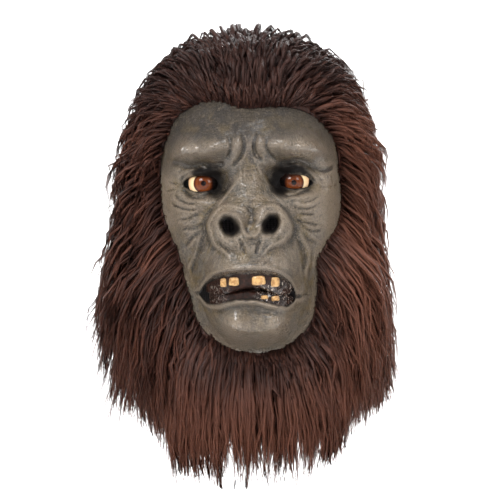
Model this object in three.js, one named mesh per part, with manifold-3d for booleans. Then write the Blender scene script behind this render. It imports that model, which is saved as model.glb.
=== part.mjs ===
// A gorilla mask that covers the whole head: a rubber face with glass eyes and cast teeth,
// a cloth hood that carries it, and long fur round the face, over the crown and under the chin.
// Millimetres. +Z is up, -Y is where the face looks, +X is on the right of someone facing it.
// The origin is the middle of the inside of the crown.
import * as THREE from "three";
import { mergeVertices } from "three/addons/utils/BufferGeometryUtils.js";
import Module from "manifold-3d";

const wasm = await Module();
wasm.setup();

// Head: the level that the outside of the rubber face ends at
const HEAD_HALF_WIDTH = 85;
const HEAD_FRONT = 106;
const HEAD_BACK = 108;
const HEAD_HEIGHT = 295; // crown to neck rim
const WIDEST_DOWN = 110; // crown to the widest level
const DOME_ROUND = 2.5; // 2 is an ellipsoid, more is squarer
const SIDE_TAPER = 0.15; // share lost from the widest level to the neck
const FRONT_TAPER = 0.25;
const BACK_TAPER = 0.2;

// Walls and clearances
const HOOD_WALL = 2;
const SKIN_WALL = 2.5; // the rubber of the face, and the hide under the fur
const GAP = 0.3;
const LINING_GAP = 1.1; // between the hood and what lies over it, whose facets differ
const LAP = 9; // how far the hood runs on under the edge of the face
const PANEL_CUT_DOWN = 80; // crown to the seam under the hood's two crown panels
const PANEL_SEAM_Y = 48; // seam between the hood's side panels and its back panel

const CROWN_Z = HOOD_WALL + LINING_GAP + SKIN_WALL;
const NECK_Z = CROWN_Z - HEAD_HEIGHT;
const WIDEST_Z = CROWN_Z - WIDEST_DOWN;
const PANEL_CUT_Z = CROWN_Z - PANEL_CUT_DOWN;

// Face: a closed outline seen from the front, round a centre on the nose
const FACE_HALF_WIDTH = 80;
const FACE_HEIGHT = 212; // hairline to the underside of the chin
const HAIRLINE_DOWN = 62; // crown to hairline
const HAIRLINE_Z = CROWN_Z - HAIRLINE_DOWN;
const FACE_CENTRE_Z = HAIRLINE_Z - 0.485 * FACE_HEIGHT;
const RELIEF = 20; // the height that 1 stands for in the tables of mounds and folds
const MUZZLE_REACH = 36; // how far the muzzle stands proud of the head

// Eyes, teeth and the opening of the mouth
const EYE_RADIUS = 15.5;
const EYE_DEPTH = 9.5;
const EYE_FRONT_Y = -87; // the front of the glass
const GUM_DEPTH = 8;
const TOOTH_DEPTH = 5;

// Fur
const PILE = 11; // depth of the thick underfur, which the locks grow from
const FUR_DEPTH = 30; // how far a lock stands off its root
const FUR_DROP = 388; // crown to the lowest tip of the beard
const FUR_SPREAD = 160; // from the head's axis to the widest tip
const LOCK_WIDTH = 48;
const LOCK_THICKNESS = 20;
const CROWN_CUT_Z = HAIRLINE_Z - 5; // where the crown's hide ends and the side hides begin
const BEARD_HALF_WIDTH = 46;
const BACK_SEAM_Y = 40;

const DEG = Math.PI / 180;
const eased = (t) => (1 - Math.cos(Math.PI * t)) / 2;
const mixed = (a, b, t) => a + (b - a) * t;
const stepped = (a, b, t) => {
  const s = Math.min(1, Math.max(0, (t - a) / (b - a)));
  return s * s * (3 - 2 * s);
};

// A table's rows as objects, from its column names.
const tableRows = (columns, rows) =>
  rows.map((row) => Object.fromEntries(columns.map((column, i) => [column, row[i]])));

// Value of a table's column at t, smooth between rows; the first column holds t.
function along(table, column, t) {
  let i = 1;
  while (i < table.length - 1 && table[i][0] < t) i++;
  const row = (k) => table[Math.min(table.length - 1, Math.max(0, k))];
  const [a, b] = [row(i - 1), row(i)];
  const slope = (k) => {
    const [p, q] = [row(k - 1), row(k + 1)];
    return (q[column] - p[column]) / (q[0] - p[0]);
  };
  const span = b[0] - a[0];
  const s = Math.min(1, Math.max(0, (t - a[0]) / span));
  const bend = s * (1 - s) * span;
  return (
    mixed(a[column], b[column], s * s * (3 - 2 * s)) +
    bend * ((1 - s) * slope(i - 1) - s * slope(i))
  );
}

// Half width or reach of the head at a level: a rounded dome, and an eased taper below its widest level.
function headReach(z, reach, taper, inset) {
  const top = CROWN_Z - inset;
  const above = (z - WIDEST_Z) / (top - WIDEST_Z);
  if (above >= 0) {
    const left = Math.max(0, 1 - Math.min(1, above) ** DOME_ROUND);
    return (reach - inset) * left ** (1 / DOME_ROUND);
  }
  const below = Math.min(1, (z - WIDEST_Z) / (NECK_Z - WIDEST_Z));
  return reach * (1 - taper * eased(below)) - inset;
}

// Point of the head's surface at a level and an azimuth from the front, turning towards +X.
function headPoint(z, azimuth, inset = 0) {
  const front = Math.cos(azimuth) > 0;
  const reach = front
    ? headReach(z, HEAD_FRONT, FRONT_TAPER, inset)
    : headReach(z, HEAD_BACK, BACK_TAPER, inset);
  const half = headReach(z, HEAD_HALF_WIDTH, SIDE_TAPER, inset);
  return new THREE.Vector3(half * Math.sin(azimuth), -reach * Math.cos(azimuth), z);
}

// Outline of the face in polar form: degrees round the centre from +X, and radius in half face widths.
const FACE_OUTLINE = [
  [0, 0.96], [15, 1.05], [30, 1.15], [45, 1.33], [60, 1.37], [75, 1.32],
  [90, 1.26], [105, 1.42], [120, 1.44], [135, 1.29], [150, 1.12], [165, 1.0],
  [180, 0.9], [195, 0.84], [210, 0.88], [225, 1.0], [240, 1.2], [255, 1.33],
  [270, 1.37], [285, 1.35], [300, 1.22], [315, 0.98], [330, 0.82], [345, 0.84],
];
const OUTLINE_STEP = 15;

function outlineRadius(angle) {
  const count = FACE_OUTLINE.length;
  const turns = angle / DEG / OUTLINE_STEP;
  const i = Math.floor(turns);
  const s = turns - i;
  const at = (k) => FACE_OUTLINE[((k % count) + count) % count][1];
  const [p, a, b, q] = [at(i - 1), at(i), at(i + 1), at(i + 2)];
  const squared = (2 * p - 5 * a + 4 * b - q) * s ** 2;
  const cubed = (3 * (a - b) + q - p) * s ** 3;
  return 0.5 * (2 * a + (b - p) * s + squared + cubed) * FACE_HALF_WIDTH;
}

// Muzzle and jaw: share of the face's height, half width in half face widths, rise in muzzle reaches
const MUZZLE = [
  [0.3, 0.2, 0.0], [0.37, 0.32, 0.04], [0.44, 0.46, 0.2], [0.51, 0.58, 0.4], [0.58, 0.64, 0.62],
  [0.64, 0.67, 0.86], [0.7, 0.69, 0.98], [0.76, 0.69, 0.97], [0.82, 0.67, 0.88], [0.88, 0.62, 0.93],
  [0.94, 0.54, 0.82], [0.98, 0.42, 0.6], [1.0, 0.34, 0.4],
];
const MUZZLE_FLAT = 0.3; // share of the half width before the sides fall away

// Mounds and hollows. x, wide, up and low are in half face widths, down is a share of the face's height and
// rise is in reliefs. up and low reach above and below the middle. round 2 is a bell and 4 a flat top.
const MOUNDS = tableRows(
  ["name", "x", "down", "wide", "up", "low", "turn", "rise", "round"],
  [
    ["brow_left", -0.5, 0.16, 0.34, 0.19, 0.12, 4, 0.68, 3],
    ["brow_right", 0.5, 0.165, 0.34, 0.19, 0.12, -4, 0.68, 3],
    ["brow_middle", 0.0, 0.155, 0.2, 0.2, 0.15, 0, 0.24, 2],
    ["frown_left", -0.11, 0.17, 0.055, 0.15, 0.15, -12, 0.2, 2],
    ["frown_right", 0.14, 0.175, 0.055, 0.15, 0.15, 12, 0.2, 2],
    ["eye_band", 0.0, 0.302, 0.8, 0.16, 0.19, 0, -0.26, 4],
    ["socket_left", -0.5, 0.302, 0.27, 0.16, 0.16, 0, -0.2, 3],
    ["socket_right", 0.48, 0.306, 0.27, 0.16, 0.16, 0, -0.2, 3],
    ["inner_eye_left", -0.34, 0.302, 0.13, 0.14, 0.16, 0, -0.3, 2],
    ["inner_eye_right", 0.33, 0.304, 0.13, 0.14, 0.16, 0, -0.3, 2],
    ["nose_bridge", 0.0, 0.32, 0.13, 0.2, 0.22, 0, 0.2, 2],
    ["eye_bag_left", -0.56, 0.372, 0.22, 0.055, 0.08, 0, 0.12, 2],
    ["eye_bag_right", 0.52, 0.376, 0.22, 0.055, 0.08, 0, 0.12, 2],
    ["cheek_left", -0.7, 0.43, 0.2, 0.17, 0.22, 0, 0.25, 2],
    ["cheek_right", 0.7, 0.43, 0.2, 0.17, 0.22, 0, 0.3, 2],
    ["wing_left", -0.25, 0.48, 0.2, 0.18, 0.22, 10, 0.5, 4],
    ["wing_right", 0.24, 0.478, 0.2, 0.18, 0.22, -10, 0.5, 4],
    ["nose_foot", 0.0, 0.555, 0.2, 0.13, 0.13, 0, 0.24, 3],
    ["nostril_left", -0.225, 0.487, 0.1, 0.11, 0.11, 30, -0.5, 3],
    ["nostril_right", 0.212, 0.485, 0.1, 0.11, 0.11, -30, -0.5, 3],
    ["nose_groove", 0.0, 0.428, 0.05, 0.07, 0.09, 0, -0.22, 2],
    ["nose_tip", 0.012, 0.515, 0.06, 0.08, 0.06, 0, 0.2, 2],
    ["lip_left", -0.36, 0.63, 0.19, 0.15, 0.12, 0, 0.15, 2],
    ["lip_right", 0.32, 0.63, 0.19, 0.15, 0.12, 0, 0.15, 2],
    ["chin_left", -0.25, 0.89, 0.16, 0.14, 0.14, 0, 0.12, 2],
    ["chin_right", 0.21, 0.89, 0.16, 0.14, 0.14, 0, 0.12, 2],
  ],
);

// Folds: a bowed line from one point to another, with its reach to each side and its rise or depth.
// x, toX, bow and wide are in half face widths, down and toDown shares of the height, rise in reliefs.
const FOLDS = tableRows(
  ["name", "x", "down", "toX", "toDown", "bow", "wide", "rise"],
  [
    ["upper_lip", -0.55, 0.725, 0.45, 0.72, 0.16, 0.05, 0.17],
    ["lower_lip", -0.48, 0.785, 0.41, 0.81, 0.03, 0.05, 0.15],
    ["frown_line_left", -0.03, 0.14, -0.17, 0.25, 0.02, 0.028, -0.16],
    ["frown_line_right", 0.06, 0.14, 0.22, 0.25, -0.02, 0.028, -0.16],
    ["cheek_line_left", -0.39, 0.41, -0.68, 0.66, 0.06, 0.035, -0.12],
    ["cheek_line_right", 0.36, 0.4, 0.64, 0.66, -0.06, 0.035, -0.12],
  ],
);
const FOLD_STEPS = 6;

const faceX = (share) => share * FACE_HALF_WIDTH;
const faceZ = (share) => HAIRLINE_Z - share * FACE_HEIGHT;

function moundRise(m, x, z) {
  const [c, s] = [Math.cos(m.turn * DEG), Math.sin(m.turn * DEG)];
  const [dx, dz] = [x - faceX(m.x), z - faceZ(m.down)];
  const across = (dx * c + dz * s) / faceX(m.wide);
  const up = dz * c - dx * s;
  const climb = up / faceX(up > 0 ? m.up : m.low);
  return m.rise * RELIEF * Math.exp(-((across ** 2 + climb ** 2) ** (m.round / 2)));
}

// Points of a fold's bowed line.
function foldLine(f) {
  const from = new THREE.Vector2(faceX(f.x), faceZ(f.down));
  const to = new THREE.Vector2(faceX(f.toX), faceZ(f.toDown));
  const side = new THREE.Vector2(from.y - to.y, to.x - from.x).normalize();
  const bent = from.clone().add(to).multiplyScalar(0.5).addScaledVector(side, 2 * faceX(f.bow));
  return new THREE.QuadraticBezierCurve(from, bent, to).getPoints(FOLD_STEPS);
}
for (const f of FOLDS) f.line = foldLine(f);

function foldRise(f, x, z) {
  let near = Infinity;
  for (let i = 1; i < f.line.length; i++) {
    const [a, b] = [f.line[i - 1], f.line[i]];
    const [ux, uz] = [b.x - a.x, b.y - a.y];
    const t = Math.min(1, Math.max(0, ((x - a.x) * ux + (z - a.y) * uz) / (ux * ux + uz * uz)));
    near = Math.min(near, Math.hypot(x - a.x - t * ux, z - a.y - t * uz));
  }
  return f.rise * RELIEF * Math.exp(-((near / faceX(f.wide)) ** 2));
}

// How far the face stands proud of the head at a point seen from the front; nothing at the outline.
const EDGE_FADE = 0.8; // share of the outline's radius where the relief begins to die away
const HOLLOW_FADE = 0.68; // the same for hollows, which are gone before the hood's edge
const LAP_EDGE = 0.87;
function relief(x, z) {
  const down = (HAIRLINE_Z - z) / FACE_HEIGHT;
  const half = faceX(along(MUZZLE, 1, down));
  const rise = MUZZLE_REACH * along(MUZZLE, 2, down);
  const muzzle = down < MUZZLE[0][0] ? 0 : rise * (1 - stepped(MUZZLE_FLAT, 1, Math.abs(x) / half));
  let sum = muzzle;
  for (const m of MOUNDS) sum += moundRise(m, x, z);
  for (const f of FOLDS) sum += foldRise(f, x, z);
  const share = Math.hypot(x, z - FACE_CENTRE_Z) / outlineRadius(Math.atan2(z - FACE_CENTRE_Z, x));
  return sum * (1 - (sum < 0 ? stepped(HOLLOW_FADE, LAP_EDGE, share) : stepped(EDGE_FADE, 1, share)));
}

// Depth of the face's outer surface at a point seen from the front.
function faceY(x, z) {
  const half = headReach(z, HEAD_HALF_WIDTH, SIDE_TAPER, 0);
  const front = headReach(z, HEAD_FRONT, FRONT_TAPER, 0);
  return -front * Math.sqrt(Math.max(0, 1 - (x / half) ** 2)) - relief(x, z);
}

const SLOPE_STEP = 1.5;
function inwardAt(x, z) {
  const slopeX = (faceY(x + SLOPE_STEP, z) - faceY(x - SLOPE_STEP, z)) / (2 * SLOPE_STEP);
  const slopeZ = (faceY(x, z + SLOPE_STEP) - faceY(x, z - SLOPE_STEP)) / (2 * SLOPE_STEP);
  return new THREE.Vector3(-slopeX, 1, -slopeZ);
}
const facePoint = (x, z, inset) =>
  new THREE.Vector3(x, faceY(x, z), z).addScaledVector(inwardAt(x, z).normalize(), inset);
const behindY = (x, z, inset) => faceY(x, z) + inset * inwardAt(x, z).length();

// Closed geometry from rings of points: each ring joins the next, and the ends close on their own middle.
function ringsGeometry(rings, fromPole, toPole) {
  const sides = rings[0].length;
  const points = [...rings.flat(), fromPole, toPole];
  const [first, last] = [points.length - 2, points.length - 1];
  const faces = [];
  for (let s = 0; s < sides; s++) {
    const t = (s + 1) % sides;
    faces.push(first, s, t);
    for (let r = 1; r < rings.length; r++) {
      const [a, b] = [(r - 1) * sides, r * sides];
      faces.push(a + s, b + s, a + t, a + t, b + s, b + t);
    }
    const end = (rings.length - 1) * sides;
    faces.push(end + t, end + s, last);
  }
  const geometry = new THREE.BufferGeometry();
  geometry.setAttribute("position", new THREE.Float32BufferAttribute(points.flatMap((p) => p.toArray()), 3));
  geometry.setIndex(faces);
  return geometry;
}

function solid(geometry) {
  const bare = geometry.clone();
  bare.deleteAttribute("normal");
  bare.deleteAttribute("uv");
  const merged = mergeVertices(bare, 1e-3);
  const mesh = new wasm.Mesh({
    numProp: 3,
    vertProperties: new Float32Array(merged.attributes.position.array),
    triVerts: new Uint32Array(merged.index.array),
  });
  return new wasm.Manifold(mesh);
}

function geometryOf(body) {
  const mesh = body.getMesh();
  const points = new Float32Array(mesh.numVert * 3);
  for (let i = 0; i < mesh.numVert; i++) {
    points.set(mesh.vertProperties.subarray(i * mesh.numProp, i * mesh.numProp + 3), i * 3);
  }
  const geometry = new THREE.BufferGeometry();
  geometry.setAttribute("position", new THREE.BufferAttribute(points, 3));
  geometry.setIndex(new THREE.BufferAttribute(mesh.triVerts, 1));
  geometry.computeVertexNormals();
  return geometry;
}

const boxBetween = (low, high) => {
  const size = new THREE.Vector3().subVectors(high, low);
  const box = new THREE.BoxGeometry(size.x, size.y, size.z);
  box.translate((low.x + high.x) / 2, (low.y + high.y) / 2, (low.z + high.z) / 2);
  return solid(box);
};

// A prism along Y through the mask, from a closed outline of [x, z] points.
function prismAlongY(outline, fromY, toY) {
  const shape = new THREE.Shape(outline.map(([x, z]) => new THREE.Vector2(x, z)));
  const prism = new THREE.ExtrudeGeometry(shape, { depth: toY - fromY, bevelEnabled: false });
  prism.rotateX(Math.PI / 2);
  prism.translate(0, toY, 0);
  return solid(prism);
}

// Face: a wall of rubber on a polar grid that ends at the face's outline
const FACE_SIDES = 60;
const FACE_RINGS = 17;
const FACE_BACK_SHARES = [1, 0.87, 0.72, 0.5, 0.26]; // rings of the wall's back, from its edge to its middle

function faceRing(share, sides, inset) {
  const ring = [];
  for (let s = 0; s < sides; s++) {
    const angle = (2 * Math.PI * s) / sides;
    const radius = share * outlineRadius(angle);
    ring.push(facePoint(radius * Math.cos(angle), FACE_CENTRE_Z + radius * Math.sin(angle), inset));
  }
  return ring;
}

// The wall between two insets of the face's surface. Its back is smoother than its front.
function faceWall(outset, inset) {
  const front = [];
  for (let r = 1; r <= FACE_RINGS; r++) front.push(faceRing(r / FACE_RINGS, FACE_SIDES, -outset));
  const back = FACE_BACK_SHARES.map((share) => faceRing(share, FACE_SIDES, inset));
  const rings = [...front, ...back];
  const pole = (depth) => facePoint(0, FACE_CENTRE_Z, depth);
  return ringsGeometry(rings, pole(-outset), pole(inset));
}

const LEVELS = 5; // levels of the dome and of the taper below it
const HEAD_SIDES = 24;

// Rings of the head's surface from the crown down to a level, and the pole at the crown.
function headRings(inset, downTo, sides) {
  const top = CROWN_Z - inset;
  const levels = [];
  for (let i = 1; i <= LEVELS; i++) levels.push(mixed(top, WIDEST_Z, 1 - Math.cos((90 * DEG * i) / LEVELS)));
  for (let i = 1; i <= LEVELS; i++) levels.push(mixed(WIDEST_Z, downTo, i / LEVELS));
  return levels.map((z) => {
    const ring = [];
    for (let s = 0; s < sides; s++) ring.push(headPoint(z, (2 * Math.PI * s) / sides, inset));
    return ring;
  });
}

// The shell of the head between two insets, open at the neck.
function headShell(outer, inner) {
  const rings = [...headRings(outer, NECK_Z, HEAD_SIDES), ...headRings(inner, NECK_Z, HEAD_SIDES).reverse()];
  const pole = (inset) => new THREE.Vector3(0, 0, CROWN_Z - inset);
  return solid(ringsGeometry(rings, pole(outer), pole(inner)));
}

const FAR = 400; // beyond every surface
const grownOutline = (grow, sides) => {
  const points = [];
  for (let s = 0; s < sides; s++) {
    const angle = (2 * Math.PI * s) / sides;
    const radius = outlineRadius(angle) + grow;
    points.push([radius * Math.cos(angle), FACE_CENTRE_Z + radius * Math.sin(angle)]);
  }
  return points;
};

const WINDOW_SIDES = 24;
const hoodInset = SKIN_WALL + LINING_GAP;
const window = prismAlongY(grownOutline(-LAP, WINDOW_SIDES), -FAR, 0);
const hood = headShell(hoodInset, hoodInset + HOOD_WALL).subtract(window);

const corner = (x, y, z) => new THREE.Vector3(x, y, z);
const seam = GAP / 2;
const HOOD_PANELS = {
  left_crown_panel: boxBetween(corner(-FAR, -FAR, PANEL_CUT_Z + seam), corner(-seam, FAR, FAR)),
  right_crown_panel: boxBetween(corner(seam, -FAR, PANEL_CUT_Z + seam), corner(FAR, FAR, FAR)),
  left_panel: boxBetween(corner(-FAR, -FAR, -FAR), corner(-seam, PANEL_SEAM_Y - seam, PANEL_CUT_Z - seam)),
  right_panel: boxBetween(corner(seam, -FAR, -FAR), corner(FAR, PANEL_SEAM_Y - seam, PANEL_CUT_Z - seam)),
  back_panel: boxBetween(corner(-FAR, PANEL_SEAM_Y + seam, -FAR), corner(FAR, FAR, PANEL_CUT_Z - seam)),
};

// Largest of the bodies that a cut leaves
const whole = (body) => body.decompose().sort((a, b) => b.volume() - a.volume())[0];

// Openings in the face. x and wide are in half face widths, down and high are shares of the face's height.
const HOLES = tableRows(
  ["name", "x", "down", "wide", "high", "turn"],
  [
    ["left_eye", -0.475, 0.3, 0.215, 0.029, -3],
    ["right_eye", 0.47, 0.304, 0.205, 0.029, -6],
    ["left_nostril", -0.225, 0.49, 0.065, 0.034, 25],
    ["right_nostril", 0.212, 0.488, 0.06, 0.032, -25],
  ],
);
const HOLE_SIDES = 14;

function ovalOutline(hole, grow) {
  const [c, s] = [Math.cos(hole.turn * DEG), Math.sin(hole.turn * DEG)];
  const points = [];
  for (let i = 0; i < HOLE_SIDES; i++) {
    const angle = (2 * Math.PI * i) / HOLE_SIDES;
    const across = (faceX(hole.wide) + grow) * Math.cos(angle);
    const up = (hole.high * FACE_HEIGHT + grow) * Math.sin(angle);
    points.push([faceX(hole.x) + across * c - up * s, faceZ(hole.down) + across * s + up * c]);
  }
  return points;
}

// Edge of the mouth, anticlockwise from the left corner, in half face widths and shares of the height
const MOUTH = [
  [-0.56, 0.742], [-0.46, 0.772], [-0.3, 0.773], [-0.14, 0.769], [0.02, 0.768], [0.16, 0.775],
  [0.28, 0.788], [0.4, 0.795], [0.45, 0.745], [0.34, 0.713], [0.22, 0.695], [0.02, 0.683],
  [-0.15, 0.683], [-0.32, 0.69], [-0.46, 0.708],
];
const mouthOutline = MOUTH.map(([x, down]) => [faceX(x), faceZ(down)]);

let face = solid(faceWall(0, SKIN_WALL));
for (const hole of HOLES) face = face.subtract(prismAlongY(ovalOutline(hole, 0), -FAR, 0));
face = whole(face.subtract(prismAlongY(mouthOutline, -FAR, 0)));

// A closed outline with each corner moved inward.
function shrunk(outline, by) {
  return outline.map(([x, z], i) => {
    const [before, after] = [outline.at(i - 1), outline[(i + 1) % outline.length]];
    const [dx, dz] = [after[0] - before[0], after[1] - before[1]];
    const length = Math.hypot(dx, dz);
    return [x - (by * dz) / length, z + (by * dx) / length];
  });
}

// The room that the face's wall takes with its clearance. What lies behind the face is cut by it.
const faceLayer = solid(faceWall(GAP, SKIN_WALL + GAP));
let faceRoom = faceLayer.subtract(prismAlongY(shrunk(mouthOutline, GAP), -FAR, 0));
for (const hole of HOLES) faceRoom = faceRoom.subtract(prismAlongY(ovalOutline(hole, -GAP), -FAR, 0));

// Eye: a glass bead with a flat back, wider than the lids and seated behind them
function eye(hole) {
  const middle = new THREE.Vector3(faceX(hole.x), EYE_FRONT_Y + EYE_RADIUS, faceZ(hole.down));
  const ball = new THREE.SphereGeometry(EYE_RADIUS, 16, 10);
  ball.translate(middle.x, middle.y, middle.z);
  const back = middle.clone().addScalar(FAR);
  const cut = boxBetween(new THREE.Vector3(-FAR, EYE_FRONT_Y + EYE_DEPTH, -FAR), back);
  return whole(solid(ball).subtract(cut).subtract(faceRoom));
}

// Gums: bars that follow the back of the face from one corner of the mouth to the other.
// Columns: x in half face widths, top and foot as shares of the face's height
const GUM_TABLES = {
  upper: [
    [-0.51, 0.69, 0.735], [-0.4, 0.672, 0.746], [-0.27, 0.66, 0.737],
    [-0.13, 0.654, 0.726], [0, 0.65, 0.722], [0.13, 0.652, 0.728],
    [0.26, 0.658, 0.742], [0.38, 0.674, 0.75], [0.47, 0.695, 0.735],
  ],
  lower: [
    [-0.48, 0.763, 0.8], [-0.34, 0.763, 0.814], [-0.17, 0.762, 0.82], [0, 0.762, 0.822],
    [0.15, 0.763, 0.826], [0.29, 0.768, 0.83], [0.42, 0.785, 0.815],
  ],
};
const GUM_CLEAR = GAP + 0.9; // the back of the face is flatter than its front, so more than the gap is left
const gumFrom = SKIN_WALL + GUM_CLEAR;

function gumBar(table) {
  const bulge = GUM_DEPTH / 3;
  const rings = table.map(([x, top, foot]) => {
    const middle = (top + foot) / 2;
    const at = (down, depth) => {
      const point = new THREE.Vector3(faceX(x), 0, faceZ(down));
      point.y = behindY(point.x, point.z, gumFrom) + depth;
      return point;
    };
    return [at(top, bulge), at(top, GUM_DEPTH), at(foot, GUM_DEPTH), at(foot, bulge), at(middle, 0)];
  });
  const middleOf = (ring) => {
    const sum = new THREE.Vector3();
    for (const p of ring) sum.add(p);
    return sum.divideScalar(ring.length);
  };
  return solid(ringsGeometry(rings, middleOf(rings[0]), middleOf(rings.at(-1))));
}
let upperGum = gumBar(GUM_TABLES.upper).subtract(faceLayer);
let lowerGum = gumBar(GUM_TABLES.lower).subtract(faceLayer);

// A rounded block along Y, from the shares of its half width and height at even steps from front to back
const BLOCK_SIDES = 8;
const BLOCK_SPREAD = 1.08; // makes up for the flats between the corners
const BLOCK_NOSE = 0.1; // share of the depth that the front bulges
function block(x, z, half, high, frontY, depth, shares) {
  const rings = shares.map((share, r) => {
    const ring = [];
    for (let i = 0; i < BLOCK_SIDES; i++) {
      const angle = (2 * Math.PI * (i + 0.5)) / BLOCK_SIDES;
      const across = half * share * Math.cos(angle) * BLOCK_SPREAD;
      const up = high * share * Math.sin(angle) * BLOCK_SPREAD;
      ring.push(new THREE.Vector3(x + across, frontY + (depth * r) / (shares.length - 1), z + up));
    }
    return ring;
  });
  const pole = (y) => new THREE.Vector3(x, y, z);
  return solid(ringsGeometry(rings, pole(frontY - depth * BLOCK_NOSE), pole(frontY + depth)));
}

// Teeth. x and wide are in half face widths, down and high are shares of the height (wide and high are half
// sizes), and behind is in millimetres from the front of the lips.
const TEETH = tableRows(
  ["name", "gum", "x", "down", "wide", "high", "behind"],
  [
    ["upper_tooth_1", "upper", -0.272, 0.712, 0.044, 0.016, 2.2],
    ["upper_tooth_2", "upper", -0.172, 0.707, 0.045, 0.016, 2],
    ["upper_tooth_3", "upper", 0.104, 0.711, 0.066, 0.018, 2],
    ["upper_tooth_4", "upper", 0.252, 0.722, 0.05, 0.018, 2.2],
    ["lower_tooth_1", "lower", 0.03, 0.759, 0.045, 0.007, 2.4],
    ["lower_tooth_2", "lower", 0.2, 0.766, 0.05, 0.011, 2.4],
  ],
);
const TOOTH_SHARES = [0.72, 1, 0.95, 0.8];
const teeth = [];
for (const t of TEETH) {
  const [x, z, half, high] = [faceX(t.x), faceZ(t.down), faceX(t.wide), t.high * FACE_HEIGHT];
  const frontY = faceY(x, z) + t.behind;
  const depth = (grow) => TOOTH_DEPTH + 2 * grow;
  const sized = (grow) => block(x, z, half + grow, high + grow, frontY - grow, depth(grow), TOOTH_SHARES);
  if (t.gum === "upper") upperGum = upperGum.subtract(sized(GAP));
  else lowerGum = lowerGum.subtract(sized(GAP));
  teeth.push([t.name, sized(0).subtract(faceRoom)]);
}

// Tongue: a low mound behind the teeth, in the gap between the gums
const TONGUE = { x: -0.06, down: 0.743, wide: 0.22, high: 0.012, behind: 12, depth: 20 };
const TONGUE_SHARES = [0.6, 0.9, 1, 0.9];
const tongueX = faceX(TONGUE.x);
const tongueZ = faceZ(TONGUE.down);
const tongueFront = faceY(tongueX, tongueZ) + TONGUE.behind;
const tongueHalf = faceX(TONGUE.wide);
const tongueHigh = TONGUE.high * FACE_HEIGHT;
const tongue = block(tongueX, tongueZ, tongueHalf, tongueHigh, tongueFront, TONGUE.depth, TONGUE_SHARES);

// Fur: locks that are fused to a hide at the level of the face's edge. Shares are of FUR_DROP for lengths.
const LOCK_SIDES = 4;
const LOCK_STATIONS = [[0, 0.8], [0.35, 1], [0.72, 0.66]]; // share of the length, share of the width
const LOCK_ROOT = -0.04; // share of the length that the root closes behind its first section

// A lock from a root on the head through a bend to a tip.
function lock(root, bend, tip, width, thickness) {
  const line = new THREE.QuadraticBezierCurve3(root, bend, tip);
  const outward = new THREE.Vector3(root.x, root.y, Math.max(0, root.z - WIDEST_Z)).normalize();
  const rings = [];
  for (const [t, share] of LOCK_STATIONS) {
    const at = line.getPoint(t);
    const way = line.getTangent(t);
    const side = new THREE.Vector3().crossVectors(way, outward).normalize();
    const off = new THREE.Vector3().crossVectors(side, way).normalize();
    const ring = [];
    for (let i = 0; i < LOCK_SIDES; i++) {
      const angle = (2 * Math.PI * i) / LOCK_SIDES;
      const point = at.clone().addScaledVector(side, 0.5 * width * share * Math.cos(angle));
      ring.push(point.addScaledVector(off, 0.5 * thickness * share * Math.sin(angle)));
    }
    rings.push(ring);
  }
  return solid(ringsGeometry(rings, line.getPoint(LOCK_ROOT), tip));
}

// Rows of locks. down and drop are shares of FUR_DROP, from and to are degrees from the front towards +X,
// out is a share of FUR_DEPTH, and wide is in lock widths.
const LOCK_ROWS = tableRows(
  ["piece", "down", "from", "to", "count", "drop", "out", "wide"],
  [
    ["crown_fur", 0.02, 30, 330, 6, -0.035, 0.5, 1.3],
    ["crown_fur", 0.095, 70, 290, 6, 0.055, 0.65, 1.3],
    ["crown_fur", 0.1, -44, 44, 4, -0.05, 0.35, 1.2],
    ["left_side_fur", 0.2, 262, 290, 2, 0.17, 0.6, 1.1],
    ["left_side_fur", 0.48, 256, 290, 2, 0.3, 1.1, 1.2],
    ["right_side_fur", 0.2, 70, 98, 2, 0.17, 0.75, 1.1],
    ["right_side_fur", 0.35, 68, 104, 2, 0.22, 0.5, 1.2],
    ["right_side_fur", 0.48, 62, 104, 3, 0.3, 0.75, 1.2],
    ["back_fur", 0.22, 138, 222, 3, 0.22, 0.55, 1.3],
    ["back_fur", 0.4, 134, 226, 4, 0.26, 0.6, 1.2],
    ["back_fur", 0.6, 136, 224, 4, 0.3, 0.6, 1.2],
  ],
);

// Locks that stand alone, from a root in degrees and a share of FUR_DROP to a tip in shares of FUR_SPREAD
// (x, y) and FUR_DROP (down), wide in lock widths.
const LONE_LOCKS = tableRows(
  ["piece", "azimuth", "down", "tipX", "tipY", "tipDown", "wide"],
  [
    ["left_side_fur", -82, 0.31, -0.8, -0.06, 0.51, 0.9],
    ["left_side_fur", -88, 0.4, -0.91, 0.0, 0.6, 0.8],
    ["left_side_fur", -80, 0.5, -0.99, -0.05, 0.7, 0.7],
    ["left_side_fur", -84, 0.6, -0.87, 0.0, 0.82, 0.65],
    ["left_side_fur", -76, 0.64, -0.76, -0.08, 0.87, 0.7],
    ["left_side_fur", -62, 0.66, -0.55, -0.2, 0.88, 0.8],
    ["left_side_fur", -50, 0.68, -0.44, -0.3, 0.935, 0.7],
    ["right_side_fur", 84, 0.58, 0.8, -0.02, 0.78, 0.9],
    ["right_side_fur", 70, 0.62, 0.72, -0.12, 0.85, 0.9],
    ["right_side_fur", 58, 0.66, 0.56, -0.22, 0.865, 0.8],
    ["right_side_fur", 48, 0.68, 0.42, -0.3, 0.915, 0.7],
    ["beard_fur", -26, 0.7, -0.27, -0.44, 0.965, 0.6],
    ["beard_fur", -12, 0.72, -0.12, -0.5, 0.99, 0.6],
    ["beard_fur", 2, 0.73, 0.06, -0.5, 1.0, 0.65],
    ["beard_fur", 16, 0.72, 0.17, -0.47, 0.98, 0.55],
    ["beard_fur", 28, 0.7, 0.27, -0.42, 0.95, 0.5],
    ["beard_fur", -18, 0.74, -0.17, -0.3, 0.96, 0.8],
    ["beard_fur", 14, 0.74, 0.16, -0.3, 0.965, 0.8],
  ],
);

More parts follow.
